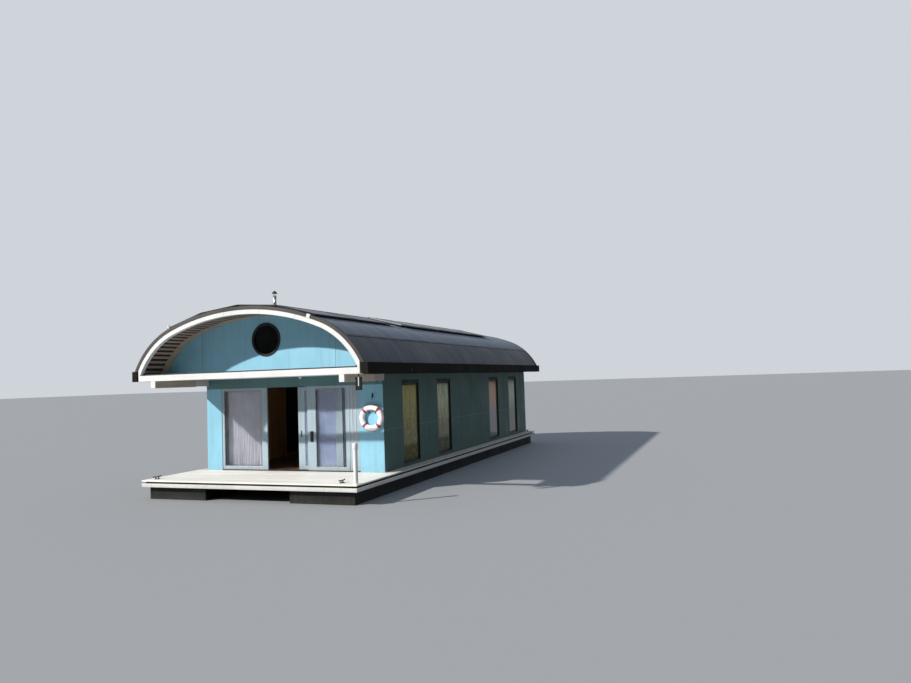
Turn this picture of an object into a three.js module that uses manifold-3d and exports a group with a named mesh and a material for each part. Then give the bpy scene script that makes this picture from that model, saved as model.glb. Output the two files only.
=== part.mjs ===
// Houseboat: a vaulted timber cabin with a glazed front porch on two steel floats.
// Millimetres, +Z up. The porch faces -Y and +X is the right-hand side seen from the porch.
// Inside the group, x is measured from the centreline, y from the front face of the white
// arch and z from the deck; the group then carries all of it to the middle of the hull bottom.

import * as THREE from "three";
import { mergeVertices } from "three/addons/utils/BufferGeometryUtils.js";
import Module from "manifold-3d";

const wasm = await Module();
wasm.setup();

// Driving dimensions

const GAP = 0.3; // between faces that rest on each other
const PAST = 10; // how far a cut or a joined piece runs past a face

const HULL = { halfGap: 1300, outer: 3150, front: 100, rear: 16700, depth: 900, rake: 900, chamfer: 420 };
const DECK = { half: 3300, front: -60, rear: 16860, boards: 35, recess: 45, rim: 100, inset: 80 };
const HULL_BOTTOM = DECK.boards + DECK.recess + DECK.rim + HULL.depth;

// The arch has three centres: a flat crown arc and a tighter arc on each haunch. Every layer
// of the roof is an offset of the outer edge of the white arch.
const ARCH = { crown: 6222, haunch: 2188, turn: THREE.MathUtils.degToRad(21.7), apex: 4460 };
const LAYER = { roofOut: 80, roofIn: -70, ringIn: -120, slatOut: -78, slatIn: -92, trimIn: -95 };
const ARCH_STEP = THREE.MathUtils.degToRad(3);
const SEAM = THREE.MathUtils.degToRad(43); // where the crown sheet laps over the haunch sheets
const LAP = 8;

const RING = { depth: 120 };
const TIE = { half: 3430, low: 2680, high: 2840 };
const ROOF = { length: 16800, rearBand: 120, lip: 10, eave: 2960 };
const EAVE = { inner: 3480, outer: 3650, low: 2680, soffitLow: 2690, soffitHigh: 2715 };
const GABLE = { face: 1080, thick: 100, floor: 2720, window: 425, windowHeight: 3720, trim: 260 };
const SLAT = { width: 80, pitch: 160, ribs: [150, 450, 760], rib: 50, sunk: 2, foot: 2775 };

const WALL = { half: 2940, thick: 150, front: 2210, rearFace: 16700, rearThick: 100, top: 2680 };
const WINDOW = { width: 1170, sill: 120, head: 2400, recess: 90, frame: 45, depth: 50, pane: 24 };
const WINDOW_PLACES = [4050, 6720, 12060, 14730]; // centres along the cabin, one bay left blind

const LINTEL_LOW = 2400;
const PANEL = { leftEdge: -2410, rightEdge: 2200 };
const SILL = { top: 30, rail: 8, railFrom: 2310, railTo: 2320, inset: 3 };
const FIXED = { from: 2225, to: 2275, low: 110, high: 2345, pane: 24 };
const FIXED_PANES = [
  { name: "left_fixed", from: PANEL.leftEdge + GAP, to: -820, glassFrom: -2340, glassTo: -1000 },
  { name: "right_fixed", from: 530, to: PANEL.rightEdge - GAP, glassFrom: 790, glassTo: 1770 },
];
const LEAF = { left: 190, right: 1620, stile: 200, from: 2290, to: 2340, low: 43.3, high: 2385, rail: 90 };
const SHOE = { inset: 60, length: 100, from: 2305, to: 2325 };

const PLATE = { inner: 2850, outer: 3000, low: 2490 };
const CORNER_POST = { x: 3195, y: 100, radius: 65, height: 1000, edge: 25 };
const BUOY = { radius: 285, tube: 75, flat: 0.75, x: 2600, z: 1490 };

const TRACK = { depth: 80, height: 40 };
const HANGINGS = [
  { name: "curtain", left: -2330, right: -1010, low: 40, inset: 25, thick: 40 },
  { name: "blind", left: 790, right: 1790, low: 100, inset: 30, thick: 30 },
];

const REAR_DOOR = { half: 405, leafHalf: 400, shut: 396, low: 60, head: 2110, thick: 45, clear: 8 };
const KNUCKLE = { radius: 10, offset: 12, plate: 45, leaf: 10, sunk: 2, height: 100, places: [300, 1750] };

const FLUE = { x: -2310, y: 4900, radius: 55, top: 5620 };
const FLUE_SKIRT = { radius: 130, low: 3950, high: 4240, cone: 4340 };
const FLUE_CAP = { radius: 90, neck: 5480, low: 5520, high: 5540 };
const SOLAR = { from: -2450, to: 2150, thick: 35, rows: 4, gap: 20, railWide: 60, sunk: 5 };
const SOLAR_GROUPS = [
  { name: "front_collectors", from: 60, to: 4640, railHeight: 15, rails: [1100, 2600, 4300] },
  { name: "rear_solar_panels", from: 5160, to: 13800, railHeight: 40, rails: [5500, 8200, 10900, 13500] },
];

const WOOD_DARK = { color: 0x5f5146, roughness: 0.8, metalness: 0 };
const MATERIALS = {
  hull_steel: { color: 0x17191b, roughness: 0.6, metalness: 0.3 },
  white_paint: { color: 0xe9e9e4, roughness: 0.5, metalness: 0 },
  deck_frame: { color: 0x3a352f, roughness: 0.9, metalness: 0 },
  deck_wood: { color: 0xd9cdb8, roughness: 0.8, metalness: 0 },
  blue_panel: { color: 0x6f9fb5, roughness: 0.5, metalness: 0 },
  side_panel: { color: 0x355059, roughness: 0.5, metalness: 0 },
  soffit_wood: WOOD_DARK,
  plate_wood: { color: 0xa98c6d, roughness: 0.7, metalness: 0 },
  ceiling: { color: 0x8a8f90, roughness: 0.8, metalness: 0 },
  fascia: { color: 0x221e1c, roughness: 0.6, metalness: 0 },
  roof_sheet: { color: 0x555f6e, roughness: 0.7, metalness: 0 },
  roof_sheet_low: { color: 0x373a44, roughness: 0.7, metalness: 0 },
  verge_metal: { color: 0x2c2e33, roughness: 0.5, metalness: 0.3 },
  frame_teal: { color: 0x4c7480, roughness: 0.4, metalness: 0 },
  frame_dark: { color: 0x23282b, roughness: 0.4, metalness: 0.2 },
  glass: { color: 0x9fb6bd, roughness: 0.05, metalness: 0 },
  buoy: { color: 0xe6dcd8, roughness: 0.6, metalness: 0 },
  flue_steel: { color: 0xb9bcbd, roughness: 0.3, metalness: 1 },
  solar: { color: 0x2b3140, roughness: 0.2, metalness: 0.4 },
  curtain: { color: 0xf1f0ec, roughness: 0.9, metalness: 0 },
};

const houseboat = new THREE.Group();
houseboat.position.set(0, -(DECK.front + DECK.rear) / 2, HULL_BOTTOM);

function place(name, slot, geometry) {
  const mesh = new THREE.Mesh(geometry, new THREE.MeshStandardMaterial(MATERIALS[slot]));
  mesh.name = name;
  houseboat.add(mesh);
}

// Solids

function box([x0, x1], [y0, y1], [z0, z1]) {
  const g = new THREE.BoxGeometry(x1 - x0, y1 - y0, z1 - z0);
  return g.translate((x0 + x1) / 2, (y0 + y1) / 2, (z0 + z1) / 2);
}

// An outline of [x, z] points, extruded along Y.
function alongY(points, y0, y1) {
  const shape = new THREE.Shape(points.map(([x, z]) => new THREE.Vector2(x, z)));
  const g = new THREE.ExtrudeGeometry(shape, { depth: y1 - y0, bevelEnabled: false });
  return g.rotateX(Math.PI / 2).translate(0, y1, 0);
}

// An outline of [y, z] points, extruded along X.
function alongX(points, x0, x1) {
  const shape = new THREE.Shape(points.map(([y, z]) => new THREE.Vector2(y, z)));
  const g = new THREE.ExtrudeGeometry(shape, { depth: x1 - x0, bevelEnabled: false });
  const [X, Y, Z] = [[1, 0, 0], [0, 1, 0], [0, 0, 1]].map((v) => new THREE.Vector3(...v));
  return g.applyMatrix4(new THREE.Matrix4().makeBasis(Y, Z, X)).translate(x0, 0, 0);
}

// A profile of [radius, z] points turned about a vertical axis at x, y.
function turned(profile, x, y, segments = 32) {
  const g = new THREE.LatheGeometry(profile.map(([r, z]) => new THREE.Vector2(r, z)), segments);
  return g.rotateX(Math.PI / 2).translate(x, y, 0);
}

function solid(geometry) {
  const g = geometry.clone();
  g.deleteAttribute("normal");
  g.deleteAttribute("uv");
  const merged = mergeVertices(g, 1e-3);
  return new wasm.Manifold(
    new wasm.Mesh({
      numProp: 3,
      vertProperties: new Float32Array(merged.attributes.position.array),
      triVerts: new Uint32Array(merged.index.array),
    }),
  );
}

function geometryOf(manifold) {
  const m = manifold.getMesh();
  const g = new THREE.BufferGeometry();
  g.setAttribute("position", new THREE.BufferAttribute(new Float32Array(m.vertProperties), 3));
  g.setIndex(new THREE.BufferAttribute(new Uint32Array(m.triVerts), 1));
  g.computeVertexNormals();
  return g;
}

function joined(...geometries) {
  return geometryOf(geometries.map(solid).reduce((a, b) => a.add(b)));
}

function cut(geometry, ...holes) {
  return geometryOf(holes.map(solid).reduce((a, b) => a.subtract(b), solid(geometry)));
}

// The arch

const CROWN_CENTRE = ARCH.apex - ARCH.crown;
const HAUNCH_X = (ARCH.crown - ARCH.haunch) * Math.sin(ARCH.turn);
const HAUNCH_Z = CROWN_CENTRE + (ARCH.crown - ARCH.haunch) * Math.cos(ARCH.turn);

// The point of the arch whose normal leans by the given angle from the vertical.
function archPoint(angle, offset) {
  if (Math.abs(angle) < ARCH.turn) {
    const r = ARCH.crown + offset;
    return [r * Math.sin(angle), CROWN_CENTRE + r * Math.cos(angle)];
  }
  const r = ARCH.haunch + offset;
  return [Math.sign(angle) * HAUNCH_X + r * Math.sin(angle), HAUNCH_Z + r * Math.cos(angle)];
}

// The angle at which an offset of the arch comes down to a height.
function footAngle(height, offset) {
  return Math.acos((height - HAUNCH_Z) / (ARCH.haunch + offset));
}

// The arc length from the apex to an angle on the haunch, and back from a length to its angle.
function lengthTo(angle, offset) {
  return (ARCH.crown + offset) * ARCH.turn + (ARCH.haunch + offset) * (angle - ARCH.turn);
}

function angleAlong(length, offset) {
  const crown = (ARCH.crown + offset) * ARCH.turn;
  const past = Math.max(Math.abs(length) - crown, 0) / (ARCH.haunch + offset);
  return Math.sign(length) * (Math.min(Math.abs(length), crown) / (ARCH.crown + offset) + past);
}

// Points of an offset between two angles: both ends and each whole step between them, so that
// neighbouring layers have their corners at the same angles.
function archCurve(offset, from, to) {
  const [low, high] = [Math.min(from, to), Math.max(from, to)];
  const angles = [low];
  for (let i = Math.floor(low / ARCH_STEP) + 1; i * ARCH_STEP < high - 1e-6; i++) angles.push(i * ARCH_STEP);
  angles.push(high);
  const points = angles.map((angle) => archPoint(angle, offset));
  return from < to ? points : points.reverse();
}

// A band between two offsets, cut level at a height on both sides.
function archBand(outer, inner, height) {
  const a = footAngle(height, outer);
  const b = footAngle(height, inner);
  return [...archCurve(outer, a, -a), ...archCurve(inner, -b, b)];
}

// A band between two offsets and two angles.
function archPiece(outer, inner, from, to) {
  return [...archCurve(outer, from, to), ...archCurve(inner, to, from)];
}

// The whole area under an offset of the arch, down to a height.
function archArea(outer, height) {
  const a = footAngle(height, outer);
  return archCurve(outer, a, -a);
}

const mirroredX = (points) => points.map(([x, z]) => [-x, z]).reverse();
const SIDES = [
  { side: "left", sign: -1 },
  { side: "right", sign: 1 },
];

// A box given for the right-hand side, placed on either side.
function sideBox(sign, [x0, x1], ys, zs) {
  return sign > 0 ? box([x0, x1], ys, zs) : box([-x1, -x0], ys, zs);
}

// Floats and deck

function buildHull() {
  const top = -(DECK.boards + DECK.recess + DECK.rim);
  const low = -HULL_BOTTOM;
  const outline = [
    [HULL.front, top - GAP],
    [HULL.front, top - HULL.depth + HULL.chamfer],
    [HULL.front + HULL.rake, low],
    [HULL.rear - HULL.rake, low],
    [HULL.rear, top - HULL.depth + HULL.chamfer],
    [HULL.rear, top - GAP],
  ];
  for (const { side, sign } of SIDES) {
    const [x0, x1] = [HULL.halfGap, HULL.outer].map((x) => x * sign).sort((a, b) => a - b);
    place(`${side}_float`, "hull_steel", alongX(outline, x0, x1));
  }
}

function buildDeck() {
  const layers = [
    // name, material, thickness, how far it stands back from the edge of the boards
    ["deck_boards", "deck_wood", DECK.boards, 0],
    ["deck_joists", "deck_frame", DECK.recess, DECK.inset],
    ["platform", "white_paint", DECK.rim, 0],
  ];
  let top = 0;
  for (const [name, slot, thick, inset] of layers) {
    const x = DECK.half - inset;
    const high = top === 0 ? 0 : top - GAP;
    place(name, slot, box([-x, x], [DECK.front + inset, DECK.rear - inset], [top - thick, high]));
    top -= thick;
  }
}

// Cabin walls

function buildSideWalls() {
  const inner = WALL.half - WALL.thick;
  const y0 = WALL.front + WALL.thick + GAP;
  const y1 = WALL.rearFace - WALL.rearThick - GAP;
  const across = [inner - PAST, WALL.half + PAST];
  for (const { side, sign } of SIDES) {
    const holes = WINDOW_PLACES.map((y) =>
      sideBox(sign, across, [y - WINDOW.width / 2, y + WINDOW.width / 2], [WINDOW.sill, WINDOW.head]),
    );
    const wall = sideBox(sign, [inner, WALL.half], [y0, y1], [GAP, WALL.top]);
    place(`${side}_side_wall`, "side_panel", cut(wall, ...holes));
    WINDOW_PLACES.forEach((y, i) => place(`${side}_window_${i + 1}`, "frame_dark", windowUnit(sign, y)));
  }
}

// One side window: a slim frame with its pane, set back in the wall.
function windowUnit(sign, y) {
  const outer = WALL.half - WINDOW.recess;
  const depth = [outer - WINDOW.depth, outer];
  const middle = outer - WINDOW.depth / 2;
  const half = WINDOW.width / 2 - GAP;
  const [low, high] = [WINDOW.sill + GAP, WINDOW.head - GAP];
  const paneHalf = half - WINDOW.frame;
  const span = [y - paneHalf, y + paneHalf];
  const heights = [low + WINDOW.frame, high - WINDOW.frame];
  const frame = cut(
    sideBox(sign, depth, [y - half, y + half], [low, high]),
    sideBox(sign, [depth[0] - PAST, depth[1] + PAST], span, heights),
  );
  const pane = sideBox(
    sign,
    [middle - WINDOW.pane / 2, middle + WINDOW.pane / 2],
    [span[0] - PAST, span[1] + PAST],
    [heights[0] - PAST, heights[1] + PAST],
  );
  return joined(frame, pane);
}

function buildFrontWall() {
  const ys = [WALL.front, WALL.front + WALL.thick];
  const under = LINTEL_LOW - GAP;
  place("front_left_panel", "blue_panel", box([-WALL.half, PANEL.leftEdge], ys, [GAP, under]));
  place("front_right_panel", "blue_panel", box([PANEL.rightEdge, WALL.half], ys, [GAP, under]));
  place("front_lintel", "frame_teal", box([-WALL.half, WALL.half], ys, [LINTEL_LOW, WALL.top]));
}

function buildGables() {
  const y1 = GABLE.face + GABLE.thick;
  const area = archArea(LAYER.roofIn - GAP, GABLE.floor + GAP);
  const hole = new THREE.CylinderGeometry(GABLE.window, GABLE.window, 3 * GABLE.thick, 64);
  hole.translate(0, GABLE.face + GABLE.thick / 2, GABLE.windowHeight);
  place("front_gable", "blue_panel", cut(alongY(area, GABLE.face, y1), hole));
  const glass = new THREE.CylinderGeometry(GABLE.window - GAP, GABLE.window - GAP, FIXED.pane, 64);
  place("round_window", "glass", glass.translate(0, GABLE.face + GABLE.thick / 2, GABLE.windowHeight));
  const trim = archBand(LAYER.roofIn - GAP, LAYER.trimIn, GABLE.floor + GAP);
  place("gable_trim", "soffit_wood", alongY(trim, GABLE.face - GABLE.trim, GABLE.face - GAP));
  const rear = [WALL.rearFace - WALL.rearThick, WALL.rearFace];
  place("rear_gable", "blue_panel", alongY(area, ...rear));
}

// Rear wall with its door, which opens inwards on two hinges.

const HINGE_Y = WALL.rearFace - WALL.rearThick - KNUCKLE.offset;

function knuckle(z) {
  const g = new THREE.CylinderGeometry(KNUCKLE.radius, KNUCKLE.radius, KNUCKLE.height - GAP, 24);
  return g.rotateX(Math.PI / 2).translate(-REAR_DOOR.half, HINGE_Y, z + (KNUCKLE.height - GAP) / 2);
}

// The flat leaf of a hinge, from the pin to the face that it is screwed to.
function hingePlate(towards, z) {
  const xs = [-REAR_DOOR.half, -REAR_DOOR.half + towards * KNUCKLE.plate].sort((a, b) => a - b);
  const inner = HINGE_Y + KNUCKLE.offset;
  return box(xs, [inner - KNUCKLE.leaf, inner + KNUCKLE.sunk], [z, z + KNUCKLE.height - GAP]);
}

function buildRearWall() {
  const ys = [WALL.rearFace - WALL.rearThick, WALL.rearFace];
  const wall = box([-WALL.half, WALL.half], ys, [GAP, GABLE.floor]);
  const through = [ys[0] - PAST, ys[1] + PAST];
  const hole = box([-REAR_DOOR.half, REAR_DOOR.half], through, [REAR_DOOR.low, REAR_DOOR.head]);
  const seats = KNUCKLE.places.map((z) => z - KNUCKLE.height);
  const seat = (z) => [knuckle(z), hingePlate(-1, z)];
  place("rear_wall", "blue_panel", joined(cut(wall, hole), ...seats.flatMap(seat)));

  const low = REAR_DOOR.low + REAR_DOOR.clear;
  const high = REAR_DOOR.head - REAR_DOOR.clear;
  const leaf = box([-REAR_DOOR.leafHalf, REAR_DOOR.shut], [ys[0], ys[0] + REAR_DOOR.thick], [low, high]);
  const hinges = KNUCKLE.places.flatMap((z) => [knuckle(z), hingePlate(1, z)]);
  place("rear_door", "frame_teal", joined(leaf, ...hinges));
}

// Roof

function buildRoof() {
  const y0 = RING.depth + GAP;
  const y1 = ROOF.length - ROOF.rearBand - GAP;
  const seamGap = GAP / ARCH.haunch;
  place("roof_crown", "roof_sheet", alongY(archPiece(LAYER.roofOut, LAYER.roofIn, SEAM, -SEAM), y0, y1));
  const low = LAYER.roofOut - LAP;
  const haunch = [
    ...archCurve(low, footAngle(ROOF.eave + GAP, low), SEAM + seamGap),
    ...archCurve(LAYER.roofIn, SEAM + seamGap, footAngle(ROOF.eave + GAP, LAYER.roofIn)),
  ];
  for (const { side, sign } of SIDES) {
    const outline = sign > 0 ? haunch : mirroredX(haunch);
    place(`${side}_roof_haunch`, "roof_sheet_low", alongY(outline, y0, y1));
  }
  const verge = archBand(LAYER.roofOut + ROOF.lip, GAP, ROOF.eave + GAP);
  place("front_verge", "verge_metal", alongY(verge, -ROOF.lip, RING.depth));
  const rearVerge = archBand(LAYER.roofOut + ROOF.lip, LAYER.roofIn, ROOF.eave + GAP);
  place("rear_verge", "verge_metal", alongY(rearVerge, ROOF.length - ROOF.rearBand, ROOF.length));
}

function buildEaves() {
  const outline = [
    [WALL.half + GAP, EAVE.soffitLow],
    [EAVE.inner, EAVE.soffitLow],
    [EAVE.inner, EAVE.low],
    [EAVE.outer, EAVE.low],
    [EAVE.outer, ROOF.eave],
    [EAVE.inner, ROOF.eave],
    [EAVE.inner, EAVE.soffitHigh],
    [WALL.half + GAP, EAVE.soffitHigh],
  ];
  for (const { side, sign } of SIDES) {
    const fascia = sign > 0 ? outline : mirroredX(outline);
    const corner = [WALL.half - PAST, EAVE.inner];
    const front = sideBox(sign, corner, [-PAST, RING.depth + GAP], [EAVE.low - PAST, TIE.high]);
    place(`${side}_eave`, "fascia", cut(alongY(fascia, 0, ROOF.length), front));
  }
}

function buildPorchFrame() {
  const ring = alongY(archBand(0, LAYER.ringIn, TIE.high + GAP), 0, RING.depth);
  const ends = SIDES.map(({ sign }) =>
    sideBox(sign, [TIE.half, EAVE.outer], [-PAST, RING.depth + PAST], [TIE.low, ROOF.eave + PAST]),
  );
  place("front_arch", "white_paint", cut(ring, ...ends)); // its feet end flush with the tie beam
  place("tie_beam", "white_paint", box([-TIE.half, TIE.half], [0, RING.depth], [TIE.low, TIE.high]));
  const ceiling = box([-WALL.half, WALL.half], [GABLE.face, WALL.front + WALL.thick], [WALL.top + GAP, GABLE.floor]);
  place("porch_ceiling", "ceiling", ceiling);
  for (const { side, sign } of SIDES) {
    const beam = sideBox(sign, [PLATE.inner, PLATE.outer], [0, WALL.front - GAP], [PLATE.low, TIE.low - GAP]);
    place(`${side}_wall_plate`, "plate_wood", beam);
  }
}

// The boarded underside of the front overhang: lengthwise slats on three curved ribs.
function buildSoffit() {
  const y0 = RING.depth + GAP;
  const y1 = GABLE.face - GABLE.trim - GAP;
  const rib = archBand(LAYER.roofIn - GAP, LAYER.slatOut - SLAT.sunk, SLAT.foot);
  const ribs = SLAT.ribs.map((y) => alongY(rib, y, y + SLAT.rib));
  const half = lengthTo(footAngle(SLAT.foot + SLAT.width, LAYER.slatOut), LAYER.slatOut);
  const count = Math.floor(half / SLAT.pitch);
  const slats = [];
  for (let i = -count; i <= count; i++) {
    const angle = angleAlong(i * SLAT.pitch, LAYER.slatOut);
    const [x, z] = archPoint(angle, (LAYER.slatOut + LAYER.slatIn) / 2);
    const slat = new THREE.BoxGeometry(SLAT.width, y1 - y0, LAYER.slatOut - LAYER.slatIn);
    slats.push(slat.rotateY(angle).translate(x, (y0 + y1) / 2, z));
  }
  place("overhang_slats", "soffit_wood", joined(...ribs, ...slats));
}

// Front glazing: two fixed panes in the outer plane, a sliding leaf in the inner one.

// A frame cut for its glass, and the glass that fills the hole.
function frameWithHole(xs, ys, zs, hole, heights) {
  return cut(box(xs, ys, zs), box(hole, [ys[0] - PAST, ys[1] + PAST], heights));
}

function glassIn([x0, x1], [y0, y1], [z0, z1]) {
  const middle = (y0 + y1) / 2;
  const thick = [middle - FIXED.pane / 2, middle + FIXED.pane / 2];
  return box([x0 + GAP, x1 - GAP], thick, [z0 + GAP, z1 - GAP]);
}

function buildGlazing() {
  const span = [PANEL.leftEdge + GAP, PANEL.rightEdge - GAP];
  const depth = [WALL.front + SILL.inset, WALL.front + WALL.thick - SILL.inset];
  const sill = box(span, depth, [GAP, SILL.top]);
  const rail = box(span, [SILL.railFrom, SILL.railTo], [SILL.top - PAST, SILL.top + SILL.rail]);
  place("door_sill", "frame_dark", joined(sill, rail));

  const ys = [FIXED.from, FIXED.to];
  const zs = [SILL.top + GAP, LINTEL_LOW - GAP];
  const heights = [FIXED.low, FIXED.high];
  for (const { name, from, to, glassFrom, glassTo } of FIXED_PANES) {
    const hole = [glassFrom, glassTo];
    place(`${name}_frame`, "frame_teal", frameWithHole([from, to], ys, zs, hole, heights));
    place(`${name}_glass`, "glass", glassIn(hole, ys, heights));
  }
}

function buildSlidingLeaf() {
  const hole = [LEAF.left + LEAF.stile, LEAF.right - LEAF.stile];
  const heights = [LEAF.low + LEAF.rail, LEAF.high - LEAF.rail];
  const ys = [LEAF.from, LEAF.to];
  const frame = frameWithHole([LEAF.left, LEAF.right], ys, [LEAF.low, LEAF.high], hole, heights);
  const shoeLow = SILL.top + SILL.rail + GAP;
  const shoes = [LEAF.left + SHOE.inset, LEAF.right - SHOE.inset - SHOE.length].map((x) =>
    box([x, x + SHOE.length], [SHOE.from, SHOE.to], [shoeLow, LEAF.low + PAST]),
  );
  place("sliding_door_frame", "frame_teal", joined(frame, ...shoes));
  place("sliding_door_glass", "glass", glassIn(hole, ys, heights));
}

// Curtain and blind, hung on a track behind the lintel.
function buildHangings() {
  const back = WALL.front + WALL.thick + GAP;
  const heights = [LINTEL_LOW, LINTEL_LOW + TRACK.height];
  place("curtain_track", "white_paint", box([PANEL.leftEdge, PANEL.rightEdge], [back, back + TRACK.depth], heights));
  for (const { name, left, right, low, inset, thick } of HANGINGS) {
    const y0 = back + inset;
    place(name, "curtain", box([left, right], [y0, y0 + thick], [low, LINTEL_LOW - GAP]));
  }
}

// Things fixed to the outside

function buildFittings() {
  const { x, y, radius, height, edge } = CORNER_POST;
  const post = [[0, GAP], [radius, GAP], [radius, height - edge], [radius - edge, height], [0, height]];
  place("corner_post", "white_paint", turned(post, x, y));

  const buoy = new THREE.TorusGeometry(BUOY.radius, BUOY.tube, 16, 48);
  buoy.scale(1, 1, BUOY.flat).rotateX(Math.PI / 2);
  place("lifebuoy", "buoy", buoy.translate(BUOY.x, WALL.front - GAP - BUOY.tube * BUOY.flat, BUOY.z));

  const skirt = [[0, FLUE_SKIRT.low], [FLUE_SKIRT.radius, FLUE_SKIRT.low], [FLUE_SKIRT.radius, FLUE_SKIRT.high]];
  const pipe = [[FLUE.radius, FLUE_SKIRT.cone], [FLUE.radius, FLUE_CAP.neck]];
  const cap = [[FLUE_CAP.radius, FLUE_CAP.low], [FLUE_CAP.radius, FLUE_CAP.high], [0, FLUE.top]];
  const near = [FLUE.y - 2 * FLUE_SKIRT.radius, FLUE.y + 2 * FLUE_SKIRT.radius];
  const roof = alongY(archArea(LAYER.roofOut + GAP, ROOF.eave), ...near);
  place("flue", "flue_steel", cut(turned([...skirt, ...pipe, ...cap], FLUE.x, FLUE.y), roof));
}

// Panels on the crown: rows that follow the arch, each flat, joined by curved rails.
function buildSolar() {
  const angleAt = (x) => Math.asin(x / (ARCH.crown + LAYER.roofOut));
  const span = angleAt(SOLAR.to) - angleAt(SOLAR.from);
  for (const { name, from, to, railHeight, rails: places } of SOLAR_GROUPS) {
    const bottom = LAYER.roofOut + railHeight;
    const width = (span * (ARCH.crown + bottom) - (SOLAR.rows - 1) * SOLAR.gap) / SOLAR.rows;
    const band = archPiece(bottom, LAYER.roofOut + GAP, angleAt(SOLAR.to), angleAt(SOLAR.from));
    const rails = places.map((y) => alongY(band, y, y + SOLAR.railWide));
    const rows = Array.from({ length: SOLAR.rows }, (_, i) => {
      const angle = angleAt(SOLAR.from) + ((i + 0.5) * (width + SOLAR.gap)) / (ARCH.crown + bottom);
      const [x, z] = archPoint(angle, bottom + SOLAR.thick / 2 - SOLAR.sunk);
      const row = new THREE.BoxGeometry(width, to - from, SOLAR.thick);
      return row.rotateY(angle).translate(x, (from + to) / 2, z);
    });
    place(name, "solar", joined(...rails, ...rows));
  }
}

buildHull();
buildDeck();
buildSideWalls();
buildFrontWall();
buildGables();
buildRearWall();
buildRoof();
buildEaves();
buildPorchFrame();
buildSoffit();
buildGlazing();
buildSlidingLeaf();
buildHangings();
buildFittings();
buildSolar();

export default houseboat;
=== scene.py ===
import math
import random

import bmesh
import bpy
from mathutils import Matrix, Vector


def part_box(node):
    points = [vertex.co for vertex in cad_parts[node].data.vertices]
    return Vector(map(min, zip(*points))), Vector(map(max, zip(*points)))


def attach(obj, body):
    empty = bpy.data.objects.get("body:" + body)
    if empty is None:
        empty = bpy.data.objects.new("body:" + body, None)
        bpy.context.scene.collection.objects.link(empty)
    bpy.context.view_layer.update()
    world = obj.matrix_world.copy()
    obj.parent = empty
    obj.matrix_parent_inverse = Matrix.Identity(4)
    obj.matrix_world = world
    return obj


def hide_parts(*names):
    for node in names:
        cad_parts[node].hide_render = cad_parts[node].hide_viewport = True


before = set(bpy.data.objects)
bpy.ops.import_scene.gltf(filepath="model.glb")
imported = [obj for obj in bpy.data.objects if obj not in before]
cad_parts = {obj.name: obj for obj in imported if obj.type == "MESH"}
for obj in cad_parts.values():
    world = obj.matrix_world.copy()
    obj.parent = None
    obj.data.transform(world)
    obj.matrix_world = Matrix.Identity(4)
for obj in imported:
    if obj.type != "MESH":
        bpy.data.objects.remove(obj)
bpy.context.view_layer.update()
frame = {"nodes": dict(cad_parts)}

# Camera
# It stands well ahead of the porch and to its right, a little above the deck, and is held
# slightly off level. The lens is given for a sensor 36 mm wide.
CAMERA_PLACE = Vector((11.915, -24.290, 3.554))
CAMERA_YAW, CAMERA_PITCH, CAMERA_ROLL = (math.radians(a) for a in (20.611, 2.913, -1.901))
CAMERA_LENS, CAMERA_SENSOR, CAMERA_SIGHT = 29.05, 36, 2000


def placed(name, data):
    """Puts an object into the scene."""
    thing = bpy.data.objects.new(name, data)
    bpy.context.scene.collection.objects.link(thing)
    return thing


camera = placed("camera", bpy.data.cameras.new("camera"))
camera.data.lens, camera.data.sensor_width, camera.data.clip_end = CAMERA_LENS, CAMERA_SENSOR, CAMERA_SIGHT
stance = Matrix.Translation(CAMERA_PLACE)
for turn, axis in ((CAMERA_YAW, "Z"), (math.pi / 2 + CAMERA_PITCH, "X"), (CAMERA_ROLL, "Z")):
    stance = stance @ Matrix.Rotation(turn, 4, axis)
camera.matrix_world = stance
bpy.context.scene.camera = camera

# Light and floor
# One sun, as low and as far to the left as the shadow on the gable shows, under a sky that is
# pale overhead and behind the boat and dim near the horizon. The plain floor lies at the waterline.
WATERLINE, FLOOR_REACH = 0.56, 400
SUN_TRAVEL = Vector((1.05, 1.0, -0.83))
SUN_STRENGTH, SUN_SPREAD, SUN_COLOUR = 5.1, math.radians(1.2), (1.0, 0.965, 0.91)
SKY_LOW, SKY_HIGH, SKY_RISE = (0.052, 0.059, 0.062), (0.38, 0.45, 0.56), (0.05, 0.85)
SKY_BEHIND, BEHIND_WAY, BEHIND_RISE = (0.44, 0.48, 0.54), (0.55, 0.92), (0.10, 0.28)
BACKDROP, FLOOR_COLOUR, FLOOR_ROUGH = (0.62, 0.66, 0.70), (0.32, 0.33, 0.34), 0.75
SQUARE = ((-1, -1), (1, -1), (1, 1), (-1, 1))


def put(tree, kind, sockets=None, **settings):
    """Adds a shader node. Its sockets take plain values or other nodes' outputs."""
    node = tree.nodes.new("ShaderNode" + kind)
    for key, value in settings.items():
        setattr(node, key, value)
    for socket, value in (sockets or {}).items():
        if isinstance(value, bpy.types.NodeSocket):
            tree.links.new(value, node.inputs[socket])
        else:
            node.inputs[socket].default_value = value
    return node


def spread(tree, value, low, high, to_low=0.0, to_high=1.0):
    """Maps a value from one range to another and holds it there."""
    sockets = {"Value": value, "From Min": low, "From Max": high, "To Min": to_low, "To Max": to_high}
    return put(tree, "MapRange", sockets).outputs["Result"]


def mixed(tree, share, under, over):
    """One colour laid over another by a share from 0 to 1."""
    under, over = ((*c, 1) if isinstance(c, tuple) else c for c in (under, over))
    return put(tree, "Mix", {0: share, 6: under, 7: over}, data_type="RGBA").outputs[2]


def shaded(name, **values):
    """A new material with its shader's plain values: the material, its tree and the shader."""
    material = bpy.data.materials.new(name)
    material.use_nodes = True
    shader = material.node_tree.nodes["Principled BSDF"]
    for socket, value in values.items():
        shader.inputs[socket.replace("_", " ")].default_value = value
    return material, material.node_tree, shader


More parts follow.
